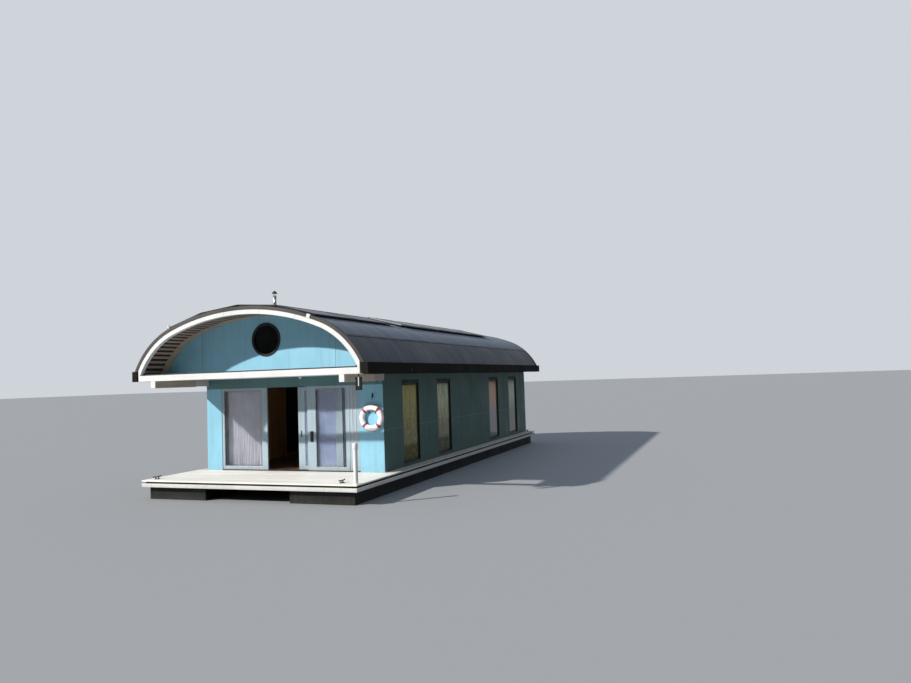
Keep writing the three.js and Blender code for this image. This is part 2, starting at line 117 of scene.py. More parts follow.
def meshed(name, points, faces, finishes):
    """A mesh of corners and faces, with its materials."""
    mesh = bpy.data.meshes.new(name)
    mesh.from_pydata(points, [], faces)
    for finish in finishes:
        mesh.materials.append(finish)
    return mesh


sun = placed("sun", bpy.data.lights.new("sun", "SUN"))
sun.data.energy, sun.data.angle, sun.data.color = SUN_STRENGTH, SUN_SPREAD, SUN_COLOUR
sun.rotation_euler = SUN_TRAVEL.to_track_quat("-Z", "Y").to_euler()

sky = bpy.data.worlds.new("sky")
sky.use_nodes = True
air = sky.node_tree
way = put(air, "SeparateXYZ", {0: put(air, "TexCoord").outputs["Generated"]}).outputs
sky_light = mixed(air, spread(air, way["Z"], *SKY_RISE), SKY_LOW, SKY_HIGH)
behind = spread(air, way["Z"], *BEHIND_RISE, 0.0, spread(air, way["Y"], *BEHIND_WAY))
sky_light = mixed(air, behind, sky_light, SKY_BEHIND)
sky_seen = mixed(air, put(air, "LightPath").outputs["Is Camera Ray"], sky_light, BACKDROP)
air.links.new(sky_seen, air.nodes["Background"].inputs["Color"])
bpy.context.scene.world = sky
bpy.context.scene.view_settings.view_transform = "Standard"

floor_finish = shaded("floor", Base_Color=(*FLOOR_COLOUR, 1), Roughness=FLOOR_ROUGH)[0]
floor_corners = [(x * FLOOR_REACH, y * FLOOR_REACH, WATERLINE) for x, y in SQUARE]
floor = placed("floor", meshed("floor", floor_corners, [(0, 1, 2, 3)], [floor_finish]))

# Floats
# Two black steel tanks, welded from plates, carry the boat. The weld beads stand proud of the
# plates, and zinc anodes are bolted on below the waterline.
FLOAT_LOW, FLOAT_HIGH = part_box("right_float")
WELD = {"pitch": 1.5, "wide": 0.012, "proud": 0.004, "low": 0.02, "raked": 1.0, "knuckle": 0.42}
ANODE_PLACES = (-5.5, -1.8, 1.8, 5.5)
ANODE, ANODE_STRAP = (0.03, 0.15, (0.2, 0.27)), (0.008, 0.21, (0.215, 0.255))
SHARP = math.radians(32)


def about(middle, half):
    return [middle - half, middle + half]


class Form:
    """Corners and faces of one piece, with one tone for each board or sheet in it."""

    def __init__(self, seed=1):
        self.points, self.faces, self.tones, self.finishes = [], [], [], []
        self.dice = random.Random(seed)

    def add(self, points, faces, finish=0):
        start = len(self.points)
        self.points += [tuple(p) for p in points]
        self.faces += [tuple(start + n for n in face) for face in faces]
        self.tones += [self.dice.random()] * len(faces)
        self.finishes += [finish] * len(faces)

    def loft(self, rings, finish=0, endless=False):
        """Quads between rings of corners, with two end faces, or on round to the first ring."""
        size, count, faces = len(rings[0]), len(rings), []
        for i in range(count if endless else count - 1):
            low, high = i * size, (i + 1) % count * size
            for j in range(size):
                k = (j + 1) % size
                faces.append((low + j, low + k, high + k, high + j))
        if not endless:
            last = (count - 1) * size
            faces += [tuple(reversed(range(size))), tuple(range(last, last + size))]
        self.add([p for ring in rings for p in ring], faces, finish)

    def drawn(self, axis, ends, section, finish=0):
        """A bar of one section drawn along X, Y or Z from end to end."""
        at = "XYZ".index(axis)
        self.loft([[(*p[:at], end, *p[at:]) for p in section] for end in ends], finish)

    def mitred(self, us, vs, section, facing, finish=0):
        """A frame round an opening that faces X or Y, of one section: (inset, depth) points."""
        rings = []
        for su, sv in ((1, 1), (-1, 1), (-1, -1), (1, -1)):
            ring = [(us[su < 0] + su * inset, vs[sv < 0] + sv * inset, depth) for inset, depth in section]
            rings.append([(d, a, b) if facing == "X" else (a, d, b) for a, b, d in ring])
        self.loft(rings, finish, endless=True)

    def block(self, xs, ys, zs, finish=0):
        (x0, x1), (y0, y1), zs = sorted(xs), sorted(ys), sorted(zs)
        self.drawn("Z", zs, [(x0, y0), (x1, y0), (x1, y1), (x0, y1)], finish)

    def tilted(self, centre, size, angle, finish=0):
        """A block turned about Y, as a board that lies along the arch."""
        turn = Matrix.Rotation(angle, 3, "Y")
        w, l, t = (s / 2 for s in size)
        self.loft([[Vector(centre) + turn @ Vector((x * w, y * l, z)) for x, y in SQUARE]
                   for z in (-t, t)], finish)

    def turned(self, profile, centre, axis="Z", segments=32, finish=0):
        """A profile of (radius, height) points turned about an axis through a centre."""
        spin = {"X": Matrix.Rotation(math.pi / 2, 3, "Y"), "Y": Matrix.Rotation(-math.pi / 2, 3, "X")}
        spin = spin.get(axis, Matrix.Identity(3))
        points, faces, rows = [], [], []
        for radius, height in profile:
            count = 1 if radius == 0 else segments
            rows.append(range(len(points), len(points) + count))
            for n in range(count):
                angle = 2 * math.pi * n / segments
                local = Vector((radius * math.cos(angle), radius * math.sin(angle), height))
                points.append(Vector(centre) + spin @ local)
        for low, high in zip(rows, rows[1:]):
            for n in range(segments):
                m = (n + 1) % segments
                corners = [low[n % len(low)], low[m % len(low)], high[m % len(high)], high[n % len(high)]]
                faces.append(tuple(dict.fromkeys(corners)))
        for row, turn in ((rows[0], -1), (rows[-1], 1)):
            if len(row) > 1:
                faces.append(tuple(row)[::turn])
        self.add(points, [f for f in faces if len(f) > 2], finish)

    def tube(self, path, radius, sides=10, finish=0):
        """A round bar along a path of points."""
        path, rings = [Vector(p) for p in path], []
        side = (path[1] - path[0]).normalized().orthogonal().normalized()
        turns = [2 * math.pi * n / sides for n in range(sides)]
        for i, point in enumerate(path):
            way = (path[min(i + 1, len(path) - 1)] - path[max(i - 1, 0)]).normalized()
            side = (side - way * side.dot(way)).normalized()
            other = way.cross(side)
            rings.append([point + (side * math.cos(t) + other * math.sin(t)) * radius for t in turns])
        self.loft(rings, finish)


def fitted(name, form, finishes, body="boat", stands_for=(), rounded=0.0):
    """Makes the piece, rounds its edges, and fits it to the body that it moves with."""
    mesh = meshed(name, form.points, form.faces, ())
    mesh.polygons.foreach_set("material_index", form.finishes)
    mesh.attributes.new("tone", "FLOAT", "FACE").data.foreach_set("value", form.tones)
    shell = bmesh.new()
    shell.from_mesh(mesh)
    bmesh.ops.recalc_face_normals(shell, faces=shell.faces)
    shell.to_mesh(mesh)
    shell.free()
    for finish in finishes:
        mesh.materials.append(finish)
    mesh.polygons.foreach_set("use_smooth", [True] * len(mesh.polygons))
    mesh.set_sharp_from_angle(angle=SHARP)
    piece = placed(name, mesh)
    if rounded:
        rounding = piece.modifiers.new("rounded edges", "BEVEL")
        rounding.width, rounding.segments = rounded, 2
        rounding.limit_method, rounding.angle_limit = "ANGLE", SHARP
    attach(piece, body)
    if stands_for:
        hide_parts(*stands_for)
    return piece


def dressed(finish, *nodes):
    """Gives CAD nodes a finish."""
    for name in nodes:
        materials = frame["nodes"][name].data.materials
        materials.clear()
        materials.append(finish)


def maths(tree, operation, a, b):
    return put(tree, "Math", {0: a, 1: b}, operation=operation).outputs[0]


def surface(tree, stretch=None):
    """Where a point of the surface lies, times a factor along each axis."""
    place = put(tree, "TexCoord").outputs["Object"]
    if stretch is None:
        return place
    return put(tree, "VectorMath", {0: place, 1: stretch}, operation="MULTIPLY").outputs[0]


def noise(tree, place, scale, detail, rough=0.5, warp=0.0):
    sockets = {"Vector": place, "Scale": scale, "Detail": detail, "Roughness": rough, "Distortion": warp}
    return put(tree, "TexNoise", sockets).outputs["Fac"]


def coated(tree, base, *coats):
    """Lays colours over a base, each where its mask shows and as strong as its share."""
    for mask, share, colour in coats:
        base = mixed(tree, maths(tree, "MULTIPLY", mask, share), base, colour)
    return base


def toned(colour, share):
    return tuple(min(c * share, 1) for c in colour)


def finished(tree, shader, colour, rough=None, height=None, relief=0.001, strength=0.5):
    """Leads a colour, a roughness and the height of a bump to the shader."""
    sockets = {"Base Color": colour, "Roughness": rough}
    if height is not None:
        bump = {"Height": height, "Distance": relief, "Strength": strength}
        sockets["Normal"] = put(tree, "Bump", bump).outputs["Normal"]
    for socket, value in sockets.items():
        if value is not None:
            tree.links.new(value, shader.inputs[socket])


def effect(name, inputs, build):
    """A node group with named inputs, which gives what the build makes of them, by name."""
    tree = bpy.data.node_groups.new(name, "ShaderNodeTree")
    for label, value in inputs.items():
        kind = "NodeSocketVector" if isinstance(value, tuple) else "NodeSocketFloat"
        tree.interface.new_socket(label, in_out="INPUT", socket_type=kind).default_value = value
    results = build(tree, tree.nodes.new("NodeGroupInput").outputs)
    for label in results:
        tree.interface.new_socket(label, in_out="OUTPUT", socket_type="NodeSocketFloat")
    out = tree.nodes.new("NodeGroupOutput")
    for label, value in results.items():
        tree.links.new(value, out.inputs[label])
    return tree


def using(tree, group, **values):
    """Places an effect in a material with its own values, and gives its outputs."""
    node = put(tree, "Group", node_tree=group)
    for socket, value in values.items():
        node.inputs[socket.replace("_", " ")].default_value = value
    return node.outputs


def weathered(tree, given):
    """Soft clouds, rain streaks that run down, and fine grit, each from 0 to 1."""
    place = surface(tree)
    cloud = noise(tree, place, maths(tree, "DIVIDE", 1.0, given["Cloud Size"]), 5.0)
    streak = noise(tree, surface(tree, (1, 1, 0.06)), given["Streak Size"], 3.0)
    return {"Cloud": spread(tree, cloud, 0.32, 0.68), "Streak": spread(tree, streak, 0.5, 0.72),
            "Grit": noise(tree, place, 160.0, 2.0)}


def splashed(tree, given):
    """Dirt thrown up from below: full at a height and gone a reach above it, with a ragged edge."""
    place = surface(tree)
    above = maths(tree, "SUBTRACT", put(tree, "SeparateXYZ", {0: place}).outputs["Z"], given["Height"])
    ragged = spread(tree, noise(tree, place, 7.0, 6.0, 0.65), 0.3, 0.7, -0.45, 0.45)
    uneven = maths(tree, "ADD", maths(tree, "DIVIDE", above, given["Reach"]), ragged)
    return {"Mask": spread(tree, uneven, 0.0, 1.0, 1.0, 0.0)}


def worn(tree, given):
    """Where an edge is, from the difference between rounded and true normals, broken by noise."""
    normals = {0: put(tree, "Bevel", {"Radius": given["Reach"]}, samples=4).outputs["Normal"],
               1: put(tree, "NewGeometry").outputs["Normal"]}
    same = put(tree, "VectorMath", normals, operation="DOT_PRODUCT").outputs["Value"]
    broken = spread(tree, noise(tree, surface(tree), 22.0, 4.0), 0.48, 0.62)
    return {"Mask": maths(tree, "MULTIPLY", spread(tree, same, 0.985, 0.86), broken)}


WEATHERING = effect("weathering", {"Cloud Size": 0.8, "Streak Size": 9.0}, weathered)
SPLASH = effect("splash", {"Height": 1.0, "Reach": 0.3}, splashed)
WORN_EDGES = effect("worn edges", {"Reach": 0.006}, worn)
DECK_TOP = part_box("deck_boards")[1].z
DIRT = (0.10, 0.09, 0.07)


def painted(name, colour, bare, dirt=DIRT, rough=0.42, clouds=0.12, streaks=0.12, splash=0.5,
            splash_from=DECK_TOP, splash_reach=0.4, wear=0.7, metal=0.0, gloss=0.5, texture=0.0006):
    """Paint with a cloudy tone, rain streaks, dirt low down and bare edges."""
    material, tree, shader = shaded(name, Metallic=metal, Specular_IOR_Level=gloss)
    weather = using(tree, WEATHERING)
    base = mixed(tree, weather["Cloud"], toned(colour, 1 - clouds), toned(colour, 1 + clouds))
    low = using(tree, SPLASH, Height=splash_from, Reach=splash_reach)["Mask"]
    edges = using(tree, WORN_EDGES)["Mask"]
    base = coated(tree, base, (weather["Streak"], streaks, dirt), (low, splash, dirt), (edges, wear, bare))
    roughness = spread(tree, weather["Cloud"], 0, 1, rough - 0.07, rough + 0.12)
    finished(tree, shader, base, roughness, weather["Grit"], texture, 0.6)
    return material


HULL_PAINT = painted("black hull paint", (0.010, 0.011, 0.012), (0.12, 0.06, 0.03), dirt=(0.06, 0.055, 0.04),
                     rough=0.5, streaks=0.15, splash=0.35, splash_from=WATERLINE, splash_reach=0.18,
                     metal=0.2, gloss=0.3)
WELD_STEEL = painted("painted weld", (0.02, 0.021, 0.023), (0.2, 0.1, 0.05), rough=0.4, splash_from=WATERLINE)
ZINC, tree, shader = shaded("cast zinc", Metallic=0.8)
weather = using(tree, WEATHERING, Cloud_Size=0.06)
finished(tree, shader, mixed(tree, weather["Cloud"], (0.30, 0.30, 0.29), (0.55, 0.54, 0.51)),
         spread(tree, weather["Grit"], 0.3, 0.7, 0.5, 0.8))
dressed(HULL_PAINT, "left_float", "right_float")

welds, anodes = Form(2), Form(3)
for sign in (-1, 1):
    weld_y = FLOAT_LOW.y + WELD["pitch"]
    while weld_y < FLOAT_HIGH.y - WELD["pitch"] / 2:
        upright = FLOAT_LOW.y + WELD["raked"] < weld_y < FLOAT_HIGH.y - WELD["raked"]
        zs = [WELD["low"] if upright else WELD["knuckle"], FLOAT_HIGH.z - 0.01]
        for face, way in ((FLOAT_HIGH.x, 1), (FLOAT_LOW.x, -1)):
            section = [(0, -WELD["wide"] / 2), (way * WELD["proud"], 0), (0, WELD["wide"] / 2)]
            welds.drawn("Z", zs, [(sign * (face + x), weld_y + y) for x, y in section])
        weld_y += WELD["pitch"]
    side = sign * FLOAT_HIGH.x
    for y in ANODE_PLACES:
        for thick, half, heights in (ANODE, ANODE_STRAP):
            anodes.block([side, side + sign * thick], about(y, half), heights)
fitted("hull_welds", welds, [WELD_STEEL])
fitted("hull_anodes", anodes, [ZINC], rounded=0.004)

# Platform
# A low steel frame joins the floats. White painted boards cover its edge all round, screwed on
# in lengths, with a narrow gap at each joint.


def extent(node):
    """A CAD node's ends along X, Y and Z."""
    return [list(ends) for ends in zip(*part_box(node))]


platform_xs, platform_ys, rim_zs = extent("platform")
RIM_BOARD = {"length": 2.4, "thick": 0.022, "gap": 0.004}
SCREW = {"radius": 0.008, "proud": 0.0016, "pitch": 0.6, "inset": 0.022}
BARE_WOOD = (0.32, 0.26, 0.19)
SLIT = 0.0005

WHITE_PAINT = painted("white paint", (0.77, 0.77, 0.755), BARE_WOOD, dirt=(0.24, 0.22, 0.17), rough=0.38,
                      clouds=0.04, streaks=0.05, splash=0.12)
RIM_PAINT = painted("white rim paint", (0.66, 0.66, 0.63), BARE_WOOD, dirt=(0.22, 0.21, 0.15), clouds=0.05,
                    streaks=0.10, splash=0.30, splash_from=rim_zs[0], splash_reach=0.06)


def lengths(start, end, most, gap=0):
    """Even lengths no longer than a board, with a gap between each two: (from, to) pairs."""
    count = max(1, math.ceil((end - start) / most))
    step = (end - start) / count
    edges = [start + step * n for n in range(count + 1)]
    pairs = enumerate(zip(edges, edges[1:]))
    return [(a + (gap / 2 if n else 0), b - (gap / 2 if n < count - 1 else 0)) for n, (a, b) in pairs]


platform = Form(4)
inner_x, inner_y = (ends[1] - RIM_BOARD["thick"] for ends in (platform_xs, platform_ys))
rims = (inner_x, platform_xs[1]), (inner_y, platform_ys[1])
platform.block(about(0, inner_x), about(0, inner_y), [rim_zs[0] + 0.004, rim_zs[1] - 0.002], finish=1)
for sign in (-1, 1):
    xs, ys = ([sign * (inner + SLIT), sign * outer] for inner, outer in rims)
    head = [(SCREW["radius"], -0.001), (SCREW["radius"], SCREW["proud"] / 2),
            (SCREW["radius"] / 2, SCREW["proud"]), (0, SCREW["proud"])]
    head = [(r, sign * h) for r, h in head]
    for a, b in lengths(*platform_ys, RIM_BOARD["length"], RIM_BOARD["gap"]):
        platform.block(xs, [a, b], rim_zs)
    for a, b in lengths(-inner_x, inner_x, RIM_BOARD["length"], RIM_BOARD["gap"]):
        platform.block([a, b], ys, rim_zs)
    for z in (rim_zs[0] + SCREW["inset"], rim_zs[1] - SCREW["inset"]):
        for a, b in lengths(*platform_ys, SCREW["pitch"]):
            platform.turned(head, (xs[1], (a + b) / 2, z), "X", 10, finish=2)
        for a, b in lengths(-inner_x, inner_x, SCREW["pitch"]):
            platform.turned(head, ((a + b) / 2, ys[1], z), "Y", 10, finish=2)
fitted("platform_rim", platform, [RIM_PAINT, HULL_PAINT, ZINC], stands_for=["platform"],
       rounded=0.003)

# Joists
# Joists lie crosswise on the platform, set back and made near-black as painted shade, so that their
# ends show as a shadow line between the white rim and the deck boards.
joist_xs, joist_ys, joist_zs = extent("deck_joists")
JOIST = {"width": 0.06, "pitch": 0.40, "edge_joist": (0.03, 0.07)}
ALONG_X, ALONG_Y, ALONG_Z = (0.07, 1, 1), (1, 0.07, 1), (1, 1, 0.07)


def grained(tree, given):
    """Wood grain that differs from board to board, the tone of each board, and small knots."""
    tone = put(tree, "Attribute", attribute_name="tone").outputs["Fac"]
    place = surface(tree, given["Stretch"])
    jump = maths(tree, "MULTIPLY", tone, 37.0)
    place = put(tree, "VectorMath", {0: place, 1: jump}, operation="ADD").outputs[0]
    grain = noise(tree, place, given["Scale"], 6.0, 0.6, 0.6)
    knots = put(tree, "TexVoronoi", {"Vector": place, "Scale": 1.4}).outputs["Distance"]
    return {"Grain": spread(tree, grain, 0.3, 0.7), "Tone": tone, "Knots": spread(tree, knots, 0.10, 0.03)}


GRAIN = effect("grain", {"Stretch": (1.0, 1.0, 1.0), "Scale": 18.0}, grained)


def timber(name, light, dark, along, rough=0.6, variety=0.35, scale=18.0):
    """Bare or oiled boards: each with its own tone, grain along it, and knots."""
    material, tree, shader = shaded(name)
    grain = using(tree, GRAIN, Stretch=along, Scale=scale)
    clouds = using(tree, WEATHERING, Cloud_Size=0.5)["Cloud"]
    base = mixed(tree, grain["Grain"], dark, light)
    base = mixed(tree, variety, base, mixed(tree, grain["Tone"], toned(light, 0.72), toned(light, 1.12)))
    base = coated(tree, base, (grain["Knots"], 0.6, toned(dark, 0.35)), (clouds, 0.18, toned(dark, 0.6)))
    roughness = spread(tree, grain["Grain"], 0, 1, rough + 0.12, rough - 0.05)
    finished(tree, shader, base, roughness, grain["Grain"], 0.0015)
    return material


SHADE_DARK_JOIST_WOOD = timber("joist wood darkened as painted shade", (0.06, 0.05, 0.04), (0.02, 0.017, 0.014), ALONG_X, rough=0.75)
joists, joist_y = Form(5), joist_ys[0]
while joist_y + JOIST["width"] <= joist_ys[1] + 1e-6:
    joists.block(joist_xs, [joist_y, joist_y + JOIST["width"]], joist_zs)
    joist_y += JOIST["pitch"]
joists.block(joist_xs, [joist_ys[1] - JOIST["width"], joist_ys[1]], joist_zs)
for sign in (-1, 1):
    joists.block([sign * (joist_xs[1] - inset) for inset in JOIST["edge_joist"]],
                 [joist_ys[0] + 0.001, joist_ys[1] - 0.001], [joist_zs[0] + SLIT, joist_zs[1] - SLIT])
fitted("deck_joists_laid", joists, [SHADE_DARK_JOIST_WOOD], stands_for=["deck_joists"], rounded=0.002)

# Deck
# Pale weathered boards run across the open deck at both ends and along the narrow side decks.
# Inside the cabin the floor is laid with long oiled planks.
deck_xs, deck_ys, deck_zs = extent("deck_boards")
WALL_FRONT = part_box("front_lintel")[0].y
WALL_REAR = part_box("rear_wall")[1].y
WALL_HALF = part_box("right_side_wall")[1].x
DECK_BOARD = {"width": 0.145, "gap": 0.006, "joints": (-1.1, 0.0, 1.1)}
SIDE_BOARD = {"width": 0.18, "length": 3.4, "gap": 0.006}
FLOOR_PLANK = {"width": 0.19, "length": 3.6, "gap": 0.0012}
FIRST_CUTS, SHORTEST = (0.35, 0.8, 0.55), 0.6

PALE_DECK = timber("pale deck boards", (0.95, 0.92, 0.86), (0.80, 0.75, 0.68), ALONG_X, rough=0.62,
                   variety=0.45)
PALE_SIDE_DECK = timber("pale side deck boards", (0.78, 0.73, 0.65), (0.55, 0.50, 0.43), ALONG_Y, rough=0.62)
OILED_FLOOR = timber("oiled floor planks", (0.36, 0.22, 0.12), (0.22, 0.12, 0.06), ALONG_Y, rough=0.38)
across, along_sides = Form(6), Form(7)
for y_from, y_to in ((deck_ys[0], WALL_FRONT), (WALL_REAR, deck_ys[1])):
    count = round((y_to - y_from) / DECK_BOARD["width"])
    step, gap = (y_to - y_from) / count, DECK_BOARD["gap"]
    for n in range(count):
        ys = [y_from + n * step + (gap / 2 if n else 0), y_from + (n + 1) * step - gap / 2]
        joint = DECK_BOARD["joints"][n % 3]
        for xs in ((deck_xs[0], joint - gap / 4), (joint + gap / 4, deck_xs[1])):
            across.block(xs, ys, deck_zs)


def planks_along(x_from, x_to, board, finish):
    """Planks that run from the front wall to the rear wall, with their butt joints staggered."""
    count = max(1, round((x_to - x_from) / board["width"]))
    step, gap = (x_to - x_from) / count, board["gap"]
    for n in range(count):
        xs = [x_from + n * step + gap / 2, x_from + (n + 1) * step - gap / 2]
        cut, cuts = WALL_FRONT + board["length"] * FIRST_CUTS[n % 3], [WALL_FRONT]
        while cut < WALL_REAR - SHORTEST:
            cuts.append(cut)
            cut += board["length"]
        for a, b in zip(cuts, cuts[1:] + [WALL_REAR]):
            along_sides.block(xs, [a + gap / 2, b - gap / 2], deck_zs, finish)


planks_along(deck_xs[0], -WALL_HALF, SIDE_BOARD, 0)
planks_along(WALL_HALF, deck_xs[1], SIDE_BOARD, 0)
planks_along(-WALL_HALF, WALL_HALF, FLOOR_PLANK, 1)
fitted("deck_boards_laid", across, [PALE_DECK], stands_for=["deck_boards"], rounded=0.003)
fitted("side_deck_and_floor", along_sides, [PALE_SIDE_DECK, OILED_FLOOR], rounded=0.0015)

# Side walls
# The timber walls carry large factory-painted panels, glued to battens with open joints. A
# painted aluminium strip covers the one horizontal joint.
WINDOWS = [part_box(f"right_window_{n}") for n in (1, 2, 3, 4)]
WALL_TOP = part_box("right_side_wall")[1].z
PANEL = {"thick": 0.006, "gap": 0.005, "low": 0.03, "joint": 1.15, "most": 1.3, "top": 0.02, "ends": 0.003,
         "over_window": 0.102, "under_window": 0.002}
STRIP = {"half": 0.007, "root": 0.001, "proud": 0.010}

# The side panels are the same as the light blue front ones; their dark teal is painted shade.
SHADE_DARKENED_SIDE_PAINT = painted("panel paint darkened to teal as painted shade", (0.060, 0.130, 0.112), (0.30, 0.32, 0.32),
                     dirt=(0.16, 0.17, 0.14), clouds=0.10, streaks=0.10, splash=0.28, splash_reach=0.55,
                     wear=0.25, gloss=0.25)
STRIP_METAL = painted("joint strip", (0.17, 0.25, 0.24), (0.4, 0.4, 0.4), rough=0.4, metal=0.4, splash=0.1)
dressed(SHADE_DARKENED_SIDE_PAINT, "left_side_wall", "right_side_wall")

cladding, joint_strips = Form(8), Form(9)
bays, edge = [], WALL_FRONT + PANEL["ends"]
for low, high in WINDOWS:
    bays += [(edge, low.y, None), (low.y, high.y, (low.z, high.z))]
    edge = high.y
bays.append((edge, WALL_REAR - PANEL["ends"], None))
joint, gap = DECK_TOP + PANEL["joint"], PANEL["gap"]
rows = [[DECK_TOP + PANEL["low"] + gap / 2, joint - gap / 2],
        [joint + gap / 2, WALL_TOP - PANEL["top"] - gap / 2]]
for sign in (-1, 1):
    xs, strip_xs = ([sign * (WALL_HALF + a), sign * (WALL_HALF + b)]
                    for a, b in ((SLIT, PANEL["thick"]), (STRIP["root"], STRIP["proud"])))
    for y_from, y_to, hole in bays:
        for a, b in lengths(y_from, y_to, PANEL["most"], gap):
            if hole is None:
                for zs in rows:
                    cladding.block(xs, [a + gap / 2, b - gap / 2], zs)
            else:
                cladding.block(xs, [a, b], [rows[0][0], hole[0] - PANEL["under_window"]])
                cladding.block(xs, [a, b], [hole[1] + PANEL["over_window"], rows[1][1]])
        if hole is None:
            joint_strips.block(strip_xs, [y_from, y_to], about(joint, STRIP["half"]))
fitted("side_cladding", cladding, [SHADE_DARKENED_SIDE_PAINT], rounded=0.0012)
fitted("side_joint_strips", joint_strips, [STRIP_METAL], rounded=0.0015)

# Side windows
# Slim dark aluminium windows in deep box frames. Each has a sash, a sealed coated pane whose golden-green
# face is a painted reflection, a folded sill and a cover over its head, near-black as painted shade.
UNIT = {"frame": 0.028, "sash": 0.022, "gasket": 0.004, "lining": 0.004, "recess": 0.030, "glass_in": 0.022}
HEAD_COVER = {"thick": 0.010, "past": 0.02, "heights": (0.0045, 0.10)}
HAIR = 0.0003

DARK_METAL = painted("dark anodised metal", (0.020, 0.023, 0.025), (0.25, 0.25, 0.25), rough=0.36, metal=0.5,
                     splash=0.2, wear=0.3, texture=0.0002)
RUBBER = painted("black rubber", (0.012, 0.012, 0.012), (0.03, 0.03, 0.03), rough=0.6, streaks=0.1)


def glass_with_painted_reflection(name, low, high, reflected_fleck):
    """Sun-control glass with a painted reflection: one tint low down and another high up, with soft specks
    between.
    """
    material, tree, shader = shaded(name, Metallic=0.35, Roughness=0.07, IOR=1.45)
    patches = noise(tree, surface(tree, (1, 2.2, 0.5)), 3.4, 5.0, warp=0.8)
    height = put(tree, "SeparateXYZ", {0: surface(tree)}).outputs["Z"]
    rise = spread(tree, maths(tree, "ADD", height, patches), DECK_TOP + 1.5, DECK_TOP + 2.3)
    reflected_flecks = spread(tree, noise(tree, surface(tree), 13.0, 4.0), 0.48, 0.75, 0, 0.6)
    base = mixed(tree, reflected_flecks, mixed(tree, rise, low, high), reflected_fleck)
    reflection_dusk = (low[0] * 0.7, low[1] * 0.35, low[2] * 0.3)
    finished(tree, shader, mixed(tree, spread(tree, patches, 0.52, 0.34, 0, 0.5), base, reflection_dusk),
             height=patches, relief=0.002, strength=0.15)
    return material


# The right panes' tints and specks are painted reflections of trees and sky.
WINDOW_REFLECTION_GLASS = [
    glass_with_painted_reflection("glass with painted golden reflection", (0.13, 0.10, 0.016), (0.25, 0.23, 0.022), (0.44, 0.43, 0.07)),
    glass_with_painted_reflection("glass with painted olive reflection", (0.11, 0.10, 0.018), (0.38, 0.43, 0.24), (0.36, 0.39, 0.22)),
    glass_with_painted_reflection("glass with painted russet reflection", (0.20, 0.20, 0.26), (0.50, 0.22, 0.11), (0.42, 0.24, 0.15)),
    glass_with_painted_reflection("glass with painted grey-green reflection", (0.11, 0.13, 0.08), (0.36, 0.38, 0.30), (0.22, 0.25, 0.16)),
]
# The left panes carry the same painted reflection, dim and nearly even.
SHADED_GLASS = glass_with_painted_reflection("dark sun-control glass", (0.045, 0.055, 0.050), (0.085, 0.105, 0.100),
                            (0.11, 0.13, 0.12))

face, outside = WALL_HALF - UNIT["recess"], WALL_HALF + 0.005
middle, back = face - UNIT["glass_in"], WINDOWS[0][0].x
rim, liner, nose = UNIT["frame"], UNIT["lining"], UNIT["recess"] + 0.03
sash, sash_end = rim + 0.001, rim + 0.001 + UNIT["sash"]
seal, seal_end = sash_end + SLIT, sash_end + SLIT + UNIT["gasket"]
FRAME_SECTION = [(0, back), (0, face), (rim - 0.006, face), (rim, face - 0.004), (rim, back)]
SASH_SECTION = [(sash, middle - 0.024), (sash, face - 0.008), (sash_end - 0.008, face - 0.008),
                (sash_end, face - 0.016), (sash_end, middle - 0.024)]
SEAL_SECTION = [(seal, middle - 0.012), (seal, middle + 0.0125), (seal_end, middle + 0.011),
                (seal_end, middle - 0.012)]
LINER_SECTION = [(HAIR, face + 0.001), (HAIR, outside), (liner, outside), (liner, face + 0.001)]
SILL_SECTION = [(0.001, 0.014), (nose, 0.006), (nose, -0.02), (nose - 0.003, -0.02), (nose - 0.003, 0.003),
                (0.001, 0.010)]
for side, sign in (("left", -1), ("right", 1)):
    for n, (low, high) in enumerate(WINDOWS, 1):
        unit, pane, ys, zs = Form(20 + n), Form(30 + n), [low.y, high.y], [low.z, high.z]
        for section, finish in ((FRAME_SECTION, 0), (SASH_SECTION, 0), (SEAL_SECTION, 1), (LINER_SECTION, 0)):
            unit.mitred(ys, zs, [(inset, sign * depth) for inset, depth in section], "X", finish)
        sill = [(sign * (face + out), zs[0] + up) for out, up in SILL_SECTION]
        unit.drawn("Y", (ys[0] + 0.006, ys[1] - 0.006), sill)
        # The head cover's near-black rubber finish is painted shade: it stands for the shade under the window
        # head.
        unit.block([sign * (WALL_HALF + out) for out in (SLIT, HEAD_COVER["thick"])],
                   [ys[0] - HEAD_COVER["past"], ys[1] + HEAD_COVER["past"]],
                   [zs[1] + height for height in HEAD_COVER["heights"]], finish=1)
        glazed = ([ends[0] + seal_end - 0.002, ends[1] - seal_end + 0.002] for ends in (ys, zs))
        pane.block(about(sign * middle, 0.010), *glazed)
        fitted(f"{side}_window_frame_{n}", unit, [DARK_METAL, RUBBER],
               stands_for=[f"{side}_window_{n}"])
        glass = WINDOW_REFLECTION_GLASS[n - 1] if side == "right" else SHADED_GLASS
        fitted(f"{side}_window_pane_{n}", pane, [glass], rounded=0.001)

# Front panels and gable
# Smooth light blue panels close the wall beside the glazing and the half-round gable above it.
# The gable's joints are narrow and dark, its round window sits in a turned black ring, and a
# stained trim board follows its curve.
GABLE_LOW, GABLE_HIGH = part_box("front_gable")
ROUND_LOW, ROUND_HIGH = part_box("round_window")
ROUND_RADIUS, ROUND_CENTRE = (ROUND_HIGH.x - ROUND_LOW.x) / 2, (ROUND_LOW + ROUND_HIGH) / 2
GABLE_JOINTS, JOINT_HALF = (-2.15, 2.15), 0.003

BLUE_PAINT = painted("light blue panel paint", (0.255, 0.545, 0.70), (0.45, 0.50, 0.52),
                     dirt=(0.14, 0.19, 0.20), rough=0.36, clouds=0.05, streaks=0.14, splash=0.22,
                     splash_reach=0.5, wear=0.25)
